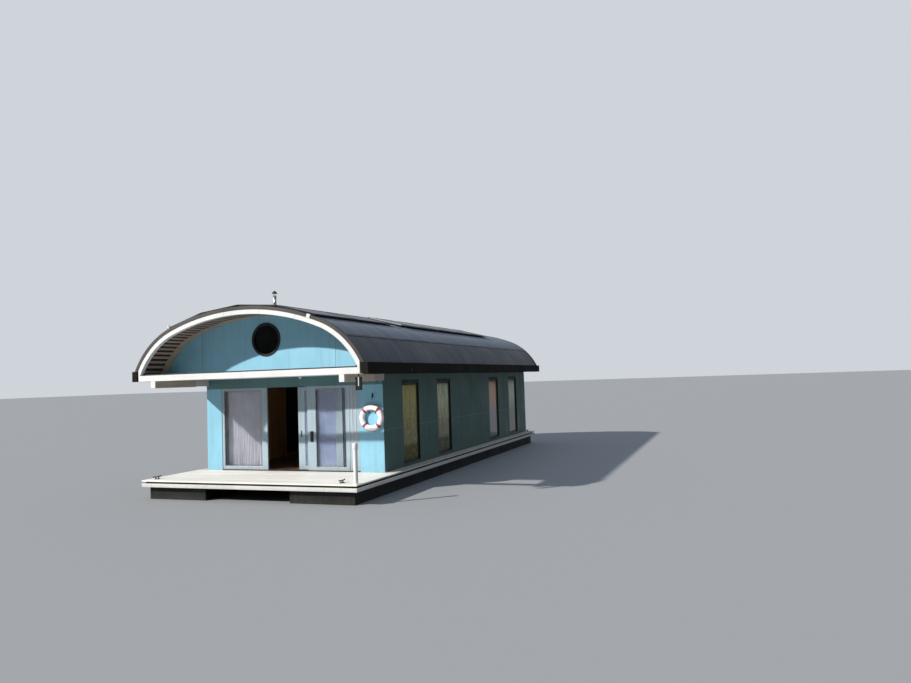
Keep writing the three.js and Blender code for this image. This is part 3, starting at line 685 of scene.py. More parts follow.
# On the lintel this dull teal is painted shade under the porch ceiling; the rear door wears it as its own
# paint.
TEAL_DOOR_PAINT_AND_LINTEL_SHADE = painted("dull teal door paint and painted lintel shade", (0.092, 0.205, 0.215), (0.35, 0.36, 0.34), rough=0.45,
                       streaks=0.15)
# The round window's glass is made near-black as painted shade of the dim room behind it.
INTERIOR_SHADE_GLASS, tree, shader = shaded("clear glass darkened as painted interior shade", Metallic=0.0, Roughness=0.04, IOR=1.3,
                                  Transmission_Weight=0.4)
weather = using(tree, WEATHERING, Cloud_Size=0.3)
base = mixed(tree, weather["Cloud"], (0.006, 0.007, 0.007), (0.020, 0.022, 0.020))
finished(tree, shader, coated(tree, base, (weather["Streak"], 0.1, (0.10, 0.10, 0.09))))
dressed(BLUE_PAINT, "front_left_panel", "front_right_panel", "front_gable", "rear_gable", "rear_wall")
dressed(TEAL_DOOR_PAINT_AND_LINTEL_SHADE, "front_lintel")
dressed(INTERIOR_SHADE_GLASS, "round_window")

# The arch has a flat crown arc and a tighter arc on each haunch, and each layer of the roof is
# an offset of the outer edge of the white arch at the front.
CROWN, HAUNCH, TURN, APEX = 6.222, 2.188, math.radians(21.7), 4.460
CROWN_Z = DECK_TOP + APEX - CROWN
HAUNCH_X, HAUNCH_Z = (CROWN - HAUNCH) * math.sin(TURN), CROWN_Z + (CROWN - HAUNCH) * math.cos(TURN)


def arch_point(angle, offset):
    """(x, z) on an offset of the arch where its normal leans by an angle from the vertical."""
    if abs(angle) < TURN:
        return (CROWN + offset) * math.sin(angle), CROWN_Z + (CROWN + offset) * math.cos(angle)
    r = HAUNCH + offset
    return math.copysign(HAUNCH_X, angle) + r * math.sin(angle), HAUNCH_Z + r * math.cos(angle)


def arch_height(x, offset):
    """The height of an offset of the arch at a distance from the middle."""
    if abs(x) < HAUNCH_X:
        return CROWN_Z + math.sqrt((CROWN + offset) ** 2 - x * x)
    return HAUNCH_Z + math.sqrt((HAUNCH + offset) ** 2 - (abs(x) - HAUNCH_X) ** 2)


def foot_angle(height, offset):
    """The angle at which an offset of the arch comes down to a height above the deck."""
    return math.acos((DECK_TOP + height - HAUNCH_Z) / (HAUNCH + offset))


def arched(form, outer, inner, start, end, ys, finish=0, level=None, since=0.0, within=math.inf):
    """A band between two offsets of the arch, from an angle to another on its inner face. Given
    a level, its outer face is turned from a first angle on, so that its feet end at that height,
    and it goes no further out than the half width that it is to stay within."""
    rings, reach = [], 1.0
    if level is not None:
        reach = (foot_angle(level, outer) - since) / (foot_angle(level, inner) - since)
    count = max(2, math.ceil(abs(math.degrees(end - start)) / 1.5))
    for n in range(count + 1):
        angle = start + (end - start) * n / count
        leaning = math.copysign(since + (abs(angle) - since) * reach, angle)
        (xo, zo), (xi, zi) = arch_point(leaning, outer), arch_point(angle, inner)
        xo = max(-within, min(within, xo))
        rings.append([(xo, ys[0], zo), (xo, ys[1], zo), (xi, ys[1], zi), (xi, ys[0], zi)])
    form.loft(rings, finish)


def hoop(centre, radius, count, section):
    """Rings of an upright hoop that faces Y, from a section of (radius, y) points."""
    for a in (2 * math.pi * n / count for n in range(count)):
        yield [(centre.x + (radius + r) * math.cos(a), y, centre.z + (radius + r) * math.sin(a))
               for r, y in section]


gable_details, round_frame, gable_trim = Form(40), Form(41), Form(42)
front = GABLE_LOW.y
for x in GABLE_JOINTS:
    gable_details.block(about(x, JOINT_HALF), [front - 0.0015, front + 0.002],
                        [GABLE_LOW.z, arch_height(x, -0.10)])
back = ROUND_LOW.y - 0.001
ring = [(-0.032, back), (-0.032, front - 0.008), (-0.022, front - 0.018), (0.030, front - 0.018),
        (0.040, front - 0.010), (0.040, front - SLIT), (-0.002, front - SLIT), (-0.002, back)]
round_frame.loft(list(hoop(ROUND_CENTRE, ROUND_RADIUS, 72, ring)), endless=True)
fitted("gable_joints", gable_details, [DARK_METAL])
fitted("round_window_ring", round_frame, [DARK_METAL])

TRIM = {"outer": -0.0703, "inner": -0.095, "foot": 2.7203, "pieces": 10, "gap": 0.0012}
trim_ys, trim_foot = extent("gable_trim")[1], foot_angle(TRIM["foot"], TRIM["inner"])
for a, b in lengths(-trim_foot, trim_foot, 2 * trim_foot / TRIM["pieces"] + 1e-9, TRIM["gap"]):
    arched(gable_trim, TRIM["outer"], TRIM["inner"], a, b, trim_ys, level=TRIM["foot"])
TRIM_WOOD = timber("stained gable trim", (0.50, 0.41, 0.31), (0.33, 0.26, 0.19), ALONG_X, rough=0.55,
                   scale=12.0)
fitted("gable_trim_boards", gable_trim, [TRIM_WOOD], stands_for=["gable_trim"], rounded=0.003)

# Front glazing
# Painted metal frames stand on a dark rail sill. Two panes are fixed, and one leaf slides behind
# them. Sloped beads hold each pane, the leaf has a long pull handle, a dark switch box is
# screwed to the right frame, and cover strips hide the right jamb.
BEAD = {"wide": 0.016, "clear": 0.0008, "seal": 0.005}
PULL = {"radius": 0.014, "stand": 0.045, "half": 0.45, "height": 1.05, "feet": 0.37}
SWITCH = {"x": 0.67, "height": 0.98}
JAMB_STRIPS = (1.86, 1.97, 2.08)

FRAME_PAINT = painted("pale blue-grey frame paint", (0.36, 0.46, 0.52), (0.42, 0.44, 0.45), rough=0.36,
                      clouds=0.05, streaks=0.16, splash=0.3, wear=0.3)
STRIP_PAINT = painted("grey cover strip paint", (0.60, 0.64, 0.70), (0.5, 0.5, 0.5), rough=0.4, streaks=0.2)


def clear_glass(name, tint, alpha, dust):
    """Double glazing: mostly see-through, with a strong sheen, streaky dust, and a tint; a pale tint is a
    painted reflection.
    """
    material, tree, shader = shaded(name, Metallic=0.0, Roughness=0.04, IOR=2.0)
    weather = using(tree, WEATHERING, Cloud_Size=0.5)
    finished(tree, shader, mixed(tree, weather["Cloud"], tint, dust))
    dusty = maths(tree, "MULTIPLY", weather["Streak"], 0.06)
    tree.links.new(maths(tree, "ADD", alpha, dusty), shader.inputs["Alpha"])
    return material


def beaded(form, pane, frame):
    """Beads on both faces of a pane, with a black seal between each bead and the glass."""
    (low, high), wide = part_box(pane), BEAD["wide"]
    us, vs = [low.x, high.x], [low.z, high.z]
    for glass, face, way in ((low.y, frame[0].y, -1), (high.y, frame[1].y, 1)):
        root, tip = glass + way * BEAD["clear"], face - way * 0.002
        bead = [(SLIT, root), (SLIT, tip), (0.004, tip), (wide, root + way * 0.003), (wide, root)]
        form.mitred(us, vs, bead, "Y")
        edge, end = wide + HAIR, wide + HAIR + BEAD["seal"]
        seal = [(edge, glass), (edge, root + way * 0.002), (end, glass + way * 0.0008), (end, glass)]
        form.mitred(us, vs, seal, "Y", finish=1)


def above_deck(*heights):
    return [DECK_TOP + height for height in heights]


CLEAR_GLASS = clear_glass("clear glass", (0.10, 0.12, 0.16), 0.10, (0.28, 0.32, 0.40))
# The leaf glass's lilac, laid on at high alpha, is a painted reflection of the sky.
LEAF_GLASS_WITH_REFLECTION = clear_glass("leaf glass with painted lilac reflection", (0.30, 0.40, 0.66), 0.40, (0.40, 0.50, 0.76))
dressed(FRAME_PAINT, "left_fixed_frame", "right_fixed_frame", "sliding_door_frame")
dressed(DARK_METAL, "door_sill")
dressed(CLEAR_GLASS, "left_fixed_glass", "right_fixed_glass")
dressed(LEAF_GLASS_WITH_REFLECTION, "sliding_door_glass")
fixed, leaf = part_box("left_fixed_frame"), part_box("sliding_door_frame")
fixed_beads, leaf_beads, switch, pull, strips = (Form(50 + n) for n in range(5))
for name in ("left_fixed_glass", "right_fixed_glass"):
    beaded(fixed_beads, name, fixed)
beaded(leaf_beads, "sliding_door_glass", leaf)
fitted("fixed_pane_beads", fixed_beads, [FRAME_PAINT, RUBBER])
fitted("sliding_door_beads", leaf_beads, [FRAME_PAINT, RUBBER], body="sliding_door")

pull_x, pull_y, pull_z = leaf[0].x + 0.10, leaf[1].y + PULL["stand"], DECK_TOP + PULL["height"]
pull.tube([(pull_x, pull_y, z) for z in about(pull_z, PULL["half"])], PULL["radius"], 20)
for z in about(pull_z, PULL["feet"]):
    pull.turned([(0.018, 0), (0.018, 0.004), (0.008, 0.007), (0.008, PULL["stand"])],
                (pull_x, leaf[1].y + HAIR, z), "Y", 20)
pull.block(about(pull_x, 0.02), [leaf[0].y - 0.0008, leaf[0].y - 0.0001], above_deck(0.97, 1.14))
front = fixed[0].y
for half, high, ys in ((0.05, 0.15, (0.010, HAIR)), (0.035, 0.12, (0.016, 0.0105))):
    switch.block(about(SWITCH["x"], half), [front - y for y in ys], about(DECK_TOP + SWITCH["height"], high))
fitted("door_pull", pull, [DARK_METAL], body="sliding_door", rounded=0.001)
fitted("switch_box", switch, [DARK_METAL], rounded=0.003)
for x in JAMB_STRIPS:
    section = [(x - 0.014, front - HAIR), (x - 0.009, front - 0.010), (x + 0.009, front - 0.010),
               (x + 0.014, front - HAIR)]
    strips.drawn("Z", above_deck(0.045, 2.385), section)
fitted("right_jamb_strips", strips, [STRIP_PAINT])

# Curtain and blind
# White cotton hangs from gliders in a ceiling track behind the left pane, gathered to little more
# than half its width. The right pane has a blind of thin metal slats on ladder cords.
CURTAIN_LOW, CURTAIN_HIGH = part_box("curtain")
PLEATS, PLEAT_DEPTH, CLOTH_THICK = 25, 0.0165, 0.0008
ACROSS_STEPS, DOWN_STEPS = 24, 20
CURTAIN_FROM, CURTAIN_WIDTH = CURTAIN_LOW.x + 0.01, CURTAIN_HIGH.x - CURTAIN_LOW.x - 0.02
HEM, CURTAIN_DROP = CURTAIN_LOW.z + 0.004, (CURTAIN_HIGH.z - 0.002) - (CURTAIN_LOW.z + 0.004)

dice = random.Random(11)
pleat_sizes = [dice.uniform(0.8, 1.0) for n in range(PLEATS)]
pleat_shares = [dice.uniform(0.8, 1.2) for n in range(PLEATS)]
pleat_edges = [sum(pleat_shares[:n]) / sum(pleat_shares) for n in range(PLEATS + 1)]
rail_y = (CURTAIN_LOW.y + CURTAIN_HIGH.y) / 2


def curtain_point(step, height):
    """One point of the gathered cloth: a step across it and a share of its height from the hem."""
    pleat = min(int(step / ACROSS_STEPS), PLEATS - 1)
    turn = step / ACROSS_STEPS - pleat
    along = pleat_edges[pleat] + (pleat_edges[pleat + 1] - pleat_edges[pleat]) * turn
    drift = 0.10 * math.sin(3.1 * height + 1.7 * pleat)
    lean = 0.006 * math.sin(2 * math.pi * (turn + drift) * 2)
    depth = PLEAT_DEPTH * pleat_sizes[pleat] * (0.88 + 0.12 * (1 - height))
    return Vector((CURTAIN_FROM + CURTAIN_WIDTH * along + lean, rail_y + depth * math.sin(2 * math.pi * turn),
                   HEM + CURTAIN_DROP * height))


COTTON, tree, shader = shaded("white cotton", Roughness=0.9, Sheen_Weight=0.3)
yarn = {"Vector": surface(tree), "Scale": 260.0}
warp, weft = (put(tree, "TexWave", yarn, bands_direction=way).outputs["Fac"] for way in "XZ")
base = mixed(tree, using(tree, WEATHERING, Cloud_Size=0.4)["Cloud"], (0.62, 0.62, 0.70), (0.74, 0.74, 0.80))
low = using(tree, SPLASH, Height=CURTAIN_LOW.z, Reach=0.12)["Mask"]
finished(tree, shader, coated(tree, base, (low, 0.25, (0.42, 0.38, 0.31))),
         height=maths(tree, "MULTIPLY", warp, weft), relief=0.0004, strength=0.4)

steps = PLEATS * ACROSS_STEPS
cloth_rows = [[curtain_point(s, r / DOWN_STEPS) for s in range(steps + 1)] for r in range(DOWN_STEPS + 1)]
corners = [r * (steps + 1) + s for r in range(DOWN_STEPS) for s in range(steps)]
cloth = meshed("gathered_curtain", [p for row in cloth_rows for p in row],
               [(c, c + 1, c + steps + 2, c + steps + 1) for c in corners], [COTTON])
cloth.polygons.foreach_set("use_smooth", [True] * len(corners))
curtain = placed("gathered_curtain", cloth)
cloth_depth = curtain.modifiers.new("cloth thickness", "SOLIDIFY")
cloth_depth.thickness, cloth_depth.offset = CLOTH_THICK, 0
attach(curtain, "boat")
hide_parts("curtain")

track, gliders = Form(55), Form(56)
track_xs, (near, far), (low, top) = extent("curtain_track")
left, right = about(rail_y, 0.006)
track.drawn("X", track_xs, [(near, top), (near, low), (left, low), (left, low + 0.012), (right, low + 0.012),
                            (right, low), (far, low), (far, top)])
for a, b in zip(pleat_edges, pleat_edges[1:]):
    gliders.block(about(CURTAIN_FROM + CURTAIN_WIDTH * (a + b) / 2, 0.006), about(rail_y, 0.004),
                  [CURTAIN_HIGH.z - 0.014, low + 0.010])
fitted("curtain_rail", track, [WHITE_PAINT], stands_for=["curtain_track"], rounded=0.001)
glider_piece = fitted("curtain_gliders", gliders, [WHITE_PAINT])

blind_xs, blind_ys, blind_zs = extent("blind")
SLATS = {"pitch": 0.021, "half": 0.0125, "thick": 0.0005, "crown": 0.0018, "tilt": math.radians(72),
         "cord_tilt": math.radians(54), "cord_every": 5}
# The blind's own pale lilac is brightened and blued as a painted reflection of the sky in the glass.
BLIND_PAINT_WITH_REFLECTION = painted("lilac blind enamel with painted sky reflection", (0.44, 0.54, 0.80), (0.5, 0.5, 0.5), rough=0.4, clouds=0.03,
                      streaks=0.0, splash=0.1, wear=0.2)
slats, ladder = Form(57), Form(58)
blind_y = sum(blind_ys) / 2
head, foot = [blind_zs[1] - 0.028, blind_zs[1] - SLIT], [blind_zs[0] + 0.001, blind_zs[0] + 0.016]
for n in range(int((head[0] - foot[1] - 0.02) / SLATS["pitch"])):
    z = foot[1] + 0.016 + n * SLATS["pitch"]
    tilt = slats.dice.uniform(-0.03, 0.03)
    tilt += SLATS["tilt" if n % SLATS["cord_every"] else "cord_tilt"]
    section = []
    for share, side in [(s / 2, 1) for s in range(-2, 3)] + [(-s / 2, -1) for s in range(-2, 3)]:
        u = share * SLATS["half"]
        v = SLATS["crown"] * (1 - share * share) + side * SLATS["thick"] / 2
        section.append((blind_y + u * math.cos(tilt) - v * math.sin(tilt),
                        z + u * math.sin(tilt) + v * math.cos(tilt)))
    slats.drawn("X", (blind_xs[0] + 0.006, blind_xs[1] - 0.006), section)
slats.block(blind_xs, blind_ys, head)
slats.block([blind_xs[0] + 0.004, blind_xs[1] - 0.004], about(blind_y, 0.011), foot)
for x in (blind_xs[0] + 0.14, sum(blind_xs) / 2, blind_xs[1] - 0.14):
    for y in about(blind_y, 0.0125):
        ladder.tube([(x, y, foot[1]), (x, y, head[0])], 0.0008, 6)
fitted("blind_slats", slats, [BLIND_PAINT_WITH_REFLECTION], stands_for=["blind"])
fitted("blind_ladder_cords", ladder, [WHITE_PAINT])

# Cabin lining
# Inside, the walls and the vault are lined with narrow stained boards, and wooden beams tie the
# walls together under the loft.
LINING = {"thick": 0.014, "board": 0.135, "gap": 0.003, "clear": 0.002, "high": 3.758}
REAR_LINING = {"faces": (0.1005, 0.1125), "side": 0.016, "high": 3.78, "door_half": 0.55, "door_high": 2.16}
VAULT_LINING = {"faces": (0.0008, 0.013), "foot": 2.86, "rear": 0.102}
BEAM = {"wide": 0.10, "heights": (3.742, 3.818), "pitch": 1.55, "first": -5.0, "last": 0.6}
FRONT_DEEP, REAR_DEEP = 0.151, 0.101
ROOF_IN = -0.070

LINING_WOOD = timber("stained lining boards", (0.82, 0.50, 0.24), (0.58, 0.32, 0.14), ALONG_Z, rough=0.5)
VAULT_WOOD = timber("pale vault boards", (0.55, 0.42, 0.28), (0.38, 0.27, 0.17), ALONG_Y, rough=0.5)
BEAM_WOOD = timber("tie beams", (0.38, 0.24, 0.13), (0.24, 0.14, 0.07), ALONG_X, rough=0.55)


def angle_of(length, offset):
    """The angle reached after an arc length from the apex."""
    crown = (CROWN + offset) * TURN
    past = max(abs(length) - crown, 0) / (HAUNCH + offset)
    return math.copysign(min(abs(length), crown) / (CROWN + offset) + past, length)


def length_of(angle, offset):
    """The arc length from the apex to an angle."""
    return min(angle, TURN) * (CROWN + offset) + max(angle - TURN, 0) * (HAUNCH + offset)


lining, vault, beams = Form(60), Form(61), Form(62)
WALL_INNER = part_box("right_side_wall")[0].x
board, gap, clear = LINING["board"], LINING["gap"], LINING["clear"]
inner_front, inner_rear, floor_z = WALL_FRONT + FRONT_DEEP, WALL_REAR - REAR_DEEP, DECK_TOP + clear
for sign in (-1, 1):
    xs = [sign * (WALL_INNER - SLIT), sign * (WALL_INNER - LINING["thick"])]
    spans, edge = [], inner_front
    for low, high in WINDOWS:
        rows = [[floor_z, low.z - clear], [high.z + clear, LINING["high"]]]
        spans += [(edge, low.y - clear, [[floor_z, LINING["high"]]]), (low.y + clear, high.y - clear, rows)]
        edge = high.y + clear
    for a, b, rows in spans + [(edge, inner_rear, [[floor_z, LINING["high"]]])]:
        for ys in lengths(a, b, board, gap):
            for zs in rows:
                lining.block(xs, ys, zs)
for xs in lengths(-WALL_INNER + REAR_LINING["side"], WALL_INNER - REAR_LINING["side"], board, gap):
    low = DECK_TOP + REAR_LINING["door_high"] if abs(sum(xs)) / 2 < REAR_LINING["door_half"] else floor_z
    lining.block(xs, [WALL_REAR - y for y in REAR_LINING["faces"]], [low, REAR_LINING["high"]])
vault_foot = length_of(foot_angle(VAULT_LINING["foot"], ROOF_IN - clear), ROOF_IN)
for ends in lengths(-vault_foot, vault_foot, board, gap):
    arched(vault, *(ROOF_IN - face for face in VAULT_LINING["faces"]),
           *(angle_of(end, ROOF_IN) for end in ends),
           [GABLE_HIGH.y + clear, WALL_REAR - VAULT_LINING["rear"]])
beam_y = BEAM["first"]
while beam_y < inner_rear - BEAM["last"]:
    beams.block(about(0, WALL_INNER - HAIR), [beam_y, beam_y + BEAM["wide"]], BEAM["heights"])
    beam_y += BEAM["pitch"]
fitted("wall_lining", lining, [LINING_WOOD])
fitted("vault_lining", vault, [VAULT_WOOD])
fitted("loft_tie_beams", beams, [BEAM_WOOD], rounded=0.004)

# Rear wall and door
# The stern wall has the same blue panels. Its teal door opens inwards in a white casing and has
# raised panels, lever handles and a steel kick plate.
DOOR_LOW, DOOR_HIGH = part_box("rear_door")
DOOR_FACE, LEVER_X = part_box("rear_wall")[1].y - 0.055, DOOR_HIGH.x - 0.055
CASING = [(-0.06, HAIR), (-0.06, 0.012), (-0.006, 0.016), (0.0, 0.014), (0.0, HAIR)]
MOULDING = [(0, HAIR), (0.004, 0.008), (0.018, 0.008), (0.026, HAIR)]
DOORWAY = {"half": 0.404, "heights": (0.062, 2.108)}
RAISED = {"sides": (0.115, 0.10), "rows": ((0.20, 0.86), (1.02, 1.94)),
          "steps": ((0.030, HAIR), (0.075, 0.006))}
LEVER = ((0, 0.004, 1.06), (0, 0.04, 1.06), (-0.012, 0.046, 1.06), (-0.115, 0.046, 1.058))
LEVER_PLATE = {"half": 0.02, "thick": 0.006, "heights": (0.92, 1.14)}
KICK_PLATE = {"sides": (0.04, 0.02), "thick": 0.0022, "heights": (0.012, 0.11)}

STEEL, tree, shader = shaded("brushed steel", Metallic=1.0)
brushing = noise(tree, surface(tree, (1, 1, 0.03)), 300.0, 2.0)
weather = using(tree, WEATHERING, Cloud_Size=0.15)
base = mixed(tree, weather["Cloud"], (0.52, 0.53, 0.53), (0.66, 0.66, 0.65))
finished(tree, shader, coated(tree, base, (weather["Streak"], 0.35, (0.30, 0.27, 0.23))),
         spread(tree, brushing, 0.3, 0.7, 0.24, 0.42))
dressed(TEAL_DOOR_PAINT_AND_LINTEL_SHADE, "rear_door")

rear_joints, door_panels, door_metal = Form(65), Form(66), Form(67)
for x in GABLE_JOINTS:
    rear_joints.block(about(x, JOINT_HALF), [WALL_REAR - 0.002, WALL_REAR + 0.0015],
                      [DECK_TOP + 0.01, arch_height(x, -0.08)])
casing = [(i, WALL_REAR + d) for i, d in CASING]
rear_joints.mitred(about(0, DOORWAY["half"]), above_deck(*DOORWAY["heights"]), casing, "Y", finish=1)
for heights in RAISED["rows"]:
    us, vs = [DOOR_LOW.x + RAISED["sides"][0], DOOR_HIGH.x - RAISED["sides"][1]], above_deck(*heights)
    door_panels.mitred(us, vs, [(i, DOOR_FACE + d) for i, d in MOULDING], "Y")
    rings = []
    for i, out in RAISED["steps"]:
        a, b, c, d, y = us[0] + i, us[1] - i, vs[0] + i, vs[1] - i, DOOR_FACE + out
        rings.append([(a, y, c), (b, y, c), (b, y, d), (a, y, d)])
    door_panels.loft(rings)
for root, way in ((DOOR_FACE + 0.0004, 1), (DOOR_LOW.y + 0.0216, -1)):
    door_metal.block(about(LEVER_X, LEVER_PLATE["half"]), [root, root + way * LEVER_PLATE["thick"]],
                     above_deck(*LEVER_PLATE["heights"]))
    door_metal.tube([(LEVER_X + x, root + way * y, DECK_TOP + z) for x, y, z in LEVER], 0.009, 14)
door_metal.block([DOOR_LOW.x + KICK_PLATE["sides"][0], DOOR_HIGH.x - KICK_PLATE["sides"][1]],
                 [DOOR_FACE + HAIR, DOOR_FACE + KICK_PLATE["thick"]],
                 [DOOR_LOW.z + height for height in KICK_PLATE["heights"]])
fitted("rear_wall_joints", rear_joints, [DARK_METAL, WHITE_PAINT])
fitted("rear_door_panels", door_panels, [TEAL_DOOR_PAINT_AND_LINTEL_SHADE], body="rear_door_leaf", rounded=0.0015)
fitted("rear_door_handles", door_metal, [STEEL], body="rear_door_leaf", rounded=0.001)

# Porch frame
# A white beam ties the feet of the arch, which is faced with short curved boards. A black pipe
# lies on the beam. Two plates run back to the cabin, and thin boards close the porch ceiling.
tie_xs, tie_ys, tie_zs = extent("tie_beam")
TIE = {"length": 3.5, "gap": 0.0015}
ARCH_FACE = {"inner": -0.120, "foot": 2.8403, "boards": 13, "gap": 0.0005}
ceiling_xs, ceiling_ys, ceiling_zs = extent("porch_ceiling")
CEILING_BOARD = {"wide": 0.12, "gap": 0.004, "thick": 0.018}
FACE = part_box("front_arch")[0].y
PLATE_JOINT = FACE + 1.63
PIPE = {"radius": 0.017, "half": 3.30, "back": 0.088, "cap": 0.030}

# The right plate's pale tan is painted bounce light from the deck; the left plate's darker wood is painted
# shade.
BOUNCE_LIT_PLATE_TIMBER = timber("tan wall plate wood with painted bounce light", (0.95, 0.80, 0.61), (0.78, 0.64, 0.47), ALONG_Y, rough=0.55)
SHADE_DARKENED_PLATE_TIMBER = timber("wall plate wood darkened as painted shade", (0.56, 0.46, 0.36), (0.40, 0.32, 0.25), ALONG_Y)
CEILING_PAINT = painted("grey ceiling paint", (0.36, 0.40, 0.42), BARE_WOOD, rough=0.5, splash=0.0)
END_PAINT = painted("grey-beige end paint", (0.58, 0.54, 0.49), BARE_WOOD, rough=0.55, splash=0.0)

porch_beam, arch_boards, plates, ceiling, pipe = (Form(70 + n) for n in range(5))
for ends in lengths(*tie_xs, TIE["length"], TIE["gap"]):
    porch_beam.block(ends, tie_ys, tie_zs)
arch_ys = extent("front_arch")[1]
arch_foot = foot_angle(ARCH_FACE["foot"], ARCH_FACE["inner"])
for ends in lengths(-arch_foot, arch_foot, 2 * arch_foot / ARCH_FACE["boards"] + 1e-9, ARCH_FACE["gap"]):
    arched(arch_boards, 0.0, ARCH_FACE["inner"], *ends, arch_ys, level=ARCH_FACE["foot"], within=tie_xs[1])
# In each plate's joint a recessed dark metal block is painted shade in the gap.
for side in ("left", "right"):
    low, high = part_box(f"{side}_wall_plate")
    for inset, y_from, y_to, drop, finish in (
            (0, low.y + 0.018, PLATE_JOINT, 0, 4 * (side == "left")), (0, low.y, low.y + 0.0175, 0, 1),
            (0.006, PLATE_JOINT + 0.014, high.y, 0.012, 2),
            (0.03, PLATE_JOINT + HAIR, PLATE_JOINT + 0.0137, 0.03, 3)):
        plates.block([low.x + inset, high.x - inset], [y_from, y_to], [low.z + drop, high.z], finish)
pipe_y, pipe_z = FACE + PIPE["back"], tie_zs[1] + PIPE["radius"] + HAIR
pipe.tube([(x, pipe_y, pipe_z) for x in about(0, PIPE["half"])], PIPE["radius"], 20)
for sign in (-1, 1):
    cap = [(0.018, 0.0), (0.024, 0.004), (0.030, 0.012), (0.030, 0.030), (0.022, 0.036), (0, 0.038)]
    pipe.turned([(r, sign * h) for r, h in cap],
                (sign * (PIPE["half"] - 0.02), pipe_y, pipe_z + PIPE["cap"] - PIPE["radius"]), "X", 24)
board_top = ceiling_zs[0] + CEILING_BOARD["thick"]
for ends in lengths(*ceiling_xs, CEILING_BOARD["wide"], CEILING_BOARD["gap"]):
    ceiling.block(ends, ceiling_ys, [ceiling_zs[0], board_top])
ceiling.block(ceiling_xs, ceiling_ys, [board_top + SLIT, ceiling_zs[1]])
fitted("tie_beam_lengths", porch_beam, [WHITE_PAINT], stands_for=["tie_beam"], rounded=0.006)
fitted("arch_boards", arch_boards, [WHITE_PAINT], stands_for=["front_arch"], rounded=0.003)
fitted("wall_plate_beams", plates, [BOUNCE_LIT_PLATE_TIMBER, WHITE_PAINT, END_PAINT, DARK_METAL, SHADE_DARKENED_PLATE_TIMBER],
       stands_for=["left_wall_plate", "right_wall_plate"], rounded=0.005)
fitted("beam_pipe", pipe, [RUBBER])
fitted("porch_ceiling_boards", ceiling, [CEILING_PAINT], stands_for=["porch_ceiling"],
       rounded=0.001)

# Overhang lining
# Narrow stained slats run from the white arch back to the gable, nailed to three curved ribs, with a
# lining in the gaps behind them. Ribs and lining are near-black as painted shade.
SLAT = {"wide": 0.080, "pitch": 0.160, "outer": -0.078, "inner": -0.092, "foot": 2.775}
RIB = {"starts": (0.150, 0.450, 0.760), "deep": 0.050}
slat_ys = extent("overhang_slats")[1]

SLAT_WOOD = timber("stained overhang slats", (0.42, 0.32, 0.25), (0.26, 0.19, 0.145), ALONG_Y, variety=0.5)
SHADE_DARK_LINING = painted("roof lining darkened as painted shade", (0.020, 0.018, 0.016), (0.03, 0.03, 0.03), rough=0.8, streaks=0.0,
                      splash=0)
overhang, outer = Form(76), SLAT["outer"]
slat_size = (SLAT["wide"], slat_ys[1] - slat_ys[0], outer - SLAT["inner"])
each_side = math.floor(length_of(foot_angle(SLAT["foot"] + SLAT["wide"], outer), outer) / SLAT["pitch"])
for n in range(-each_side, each_side + 1):
    angle = angle_of(n * SLAT["pitch"], outer)
    x, z = arch_point(angle, (outer + SLAT["inner"]) / 2)
    overhang.tilted((x, sum(slat_ys) / 2, z), slat_size, angle)
rib_foot = foot_angle(SLAT["foot"], outer)
for start in RIB["starts"]:
    arched(overhang, ROOF_IN - 0.0025, outer - SLIT, -rib_foot, rib_foot,
           [FACE + start, FACE + start + RIB["deep"]], finish=1)
arched(overhang, ROOF_IN - HAIR, ROOF_IN - 0.002, -rib_foot, rib_foot, slat_ys, finish=1)
fitted("overhang_boards", overhang, [SLAT_WOOD, SHADE_DARK_LINING], stands_for=["overhang_slats"],
       rounded=0.002)

# Roof
# Welded membrane covers the vault in crosswise widths, and each lap shows as a low band. A folded
# metal edge lies on the crown sheets where they lap over the darker haunch sheets.
ROOF_OUT, HAUNCH_OUT, EAVE_TOP = 0.080, 0.072, 2.9603
LAP = {"high": 0.0025, "wide": 0.07, "pitch": 1.06}
SEAM, SEAM_CLEAR = math.radians(43), 0.0012
FOLD = {"over": 0.0012, "under": 0.0120, "from": 0.028, "to": 0.0008}


def roofing(name, colour):
    """Membrane with long rain streaks down its slope, lichen specks and pale dust."""
    material, tree, shader = shaded(name)
    weather = using(tree, WEATHERING, Cloud_Size=1.3)
    runs = noise(tree, surface(tree, (0.05, 1, 0.05)), 6.0, 6.0)
    specks = put(tree, "TexVoronoi", {"Vector": surface(tree), "Scale": 24.0}).outputs["Distance"]
    base = mixed(tree, weather["Cloud"], toned(colour, 0.85), toned(colour, 1.15))
    base = mixed(tree, spread(tree, runs, 0.48, 0.75, 0, 0.45), base, toned(colour, 1.8))
    base = mixed(tree, spread(tree, runs, 0.45, 0.28, 0, 0.4), base, toned(colour, 0.6))
    base = mixed(tree, spread(tree, specks, 0.09, 0.04, 0, 0.3), base, (0.22, 0.23, 0.20))
    finished(tree, shader, base, spread(tree, weather["Cloud"], 0, 1, 0.42, 0.6), weather["Grit"])
    return material


UPPER_ROOFING = roofing("upper roofing", (0.155, 0.180, 0.225))
LOWER_ROOFING = roofing("lower roofing", (0.056, 0.062, 0.076))
EDGE_METAL = painted("folded edge metal", (0.060, 0.062, 0.068), (0.5, 0.5, 0.5), rough=0.45, metal=0.4,
                     splash=0)
crown_sheets, haunch_sheets = Form(80), Form(81)
roof_ys = extent("roof_crown")[1]
lap_ys = [[y, y + LAP["wide"]] for a, y in lengths(*roof_ys, LAP["pitch"])[:-1]]


def layers(outer):
    """The membrane's outer and inner offsets and its ends, and after it the same of each lap."""
    skin = outer - LAP["high"]
    return [(skin, ROOF_IN, roof_ys)] + [(outer, skin + 0.0002, ys) for ys in lap_ys]


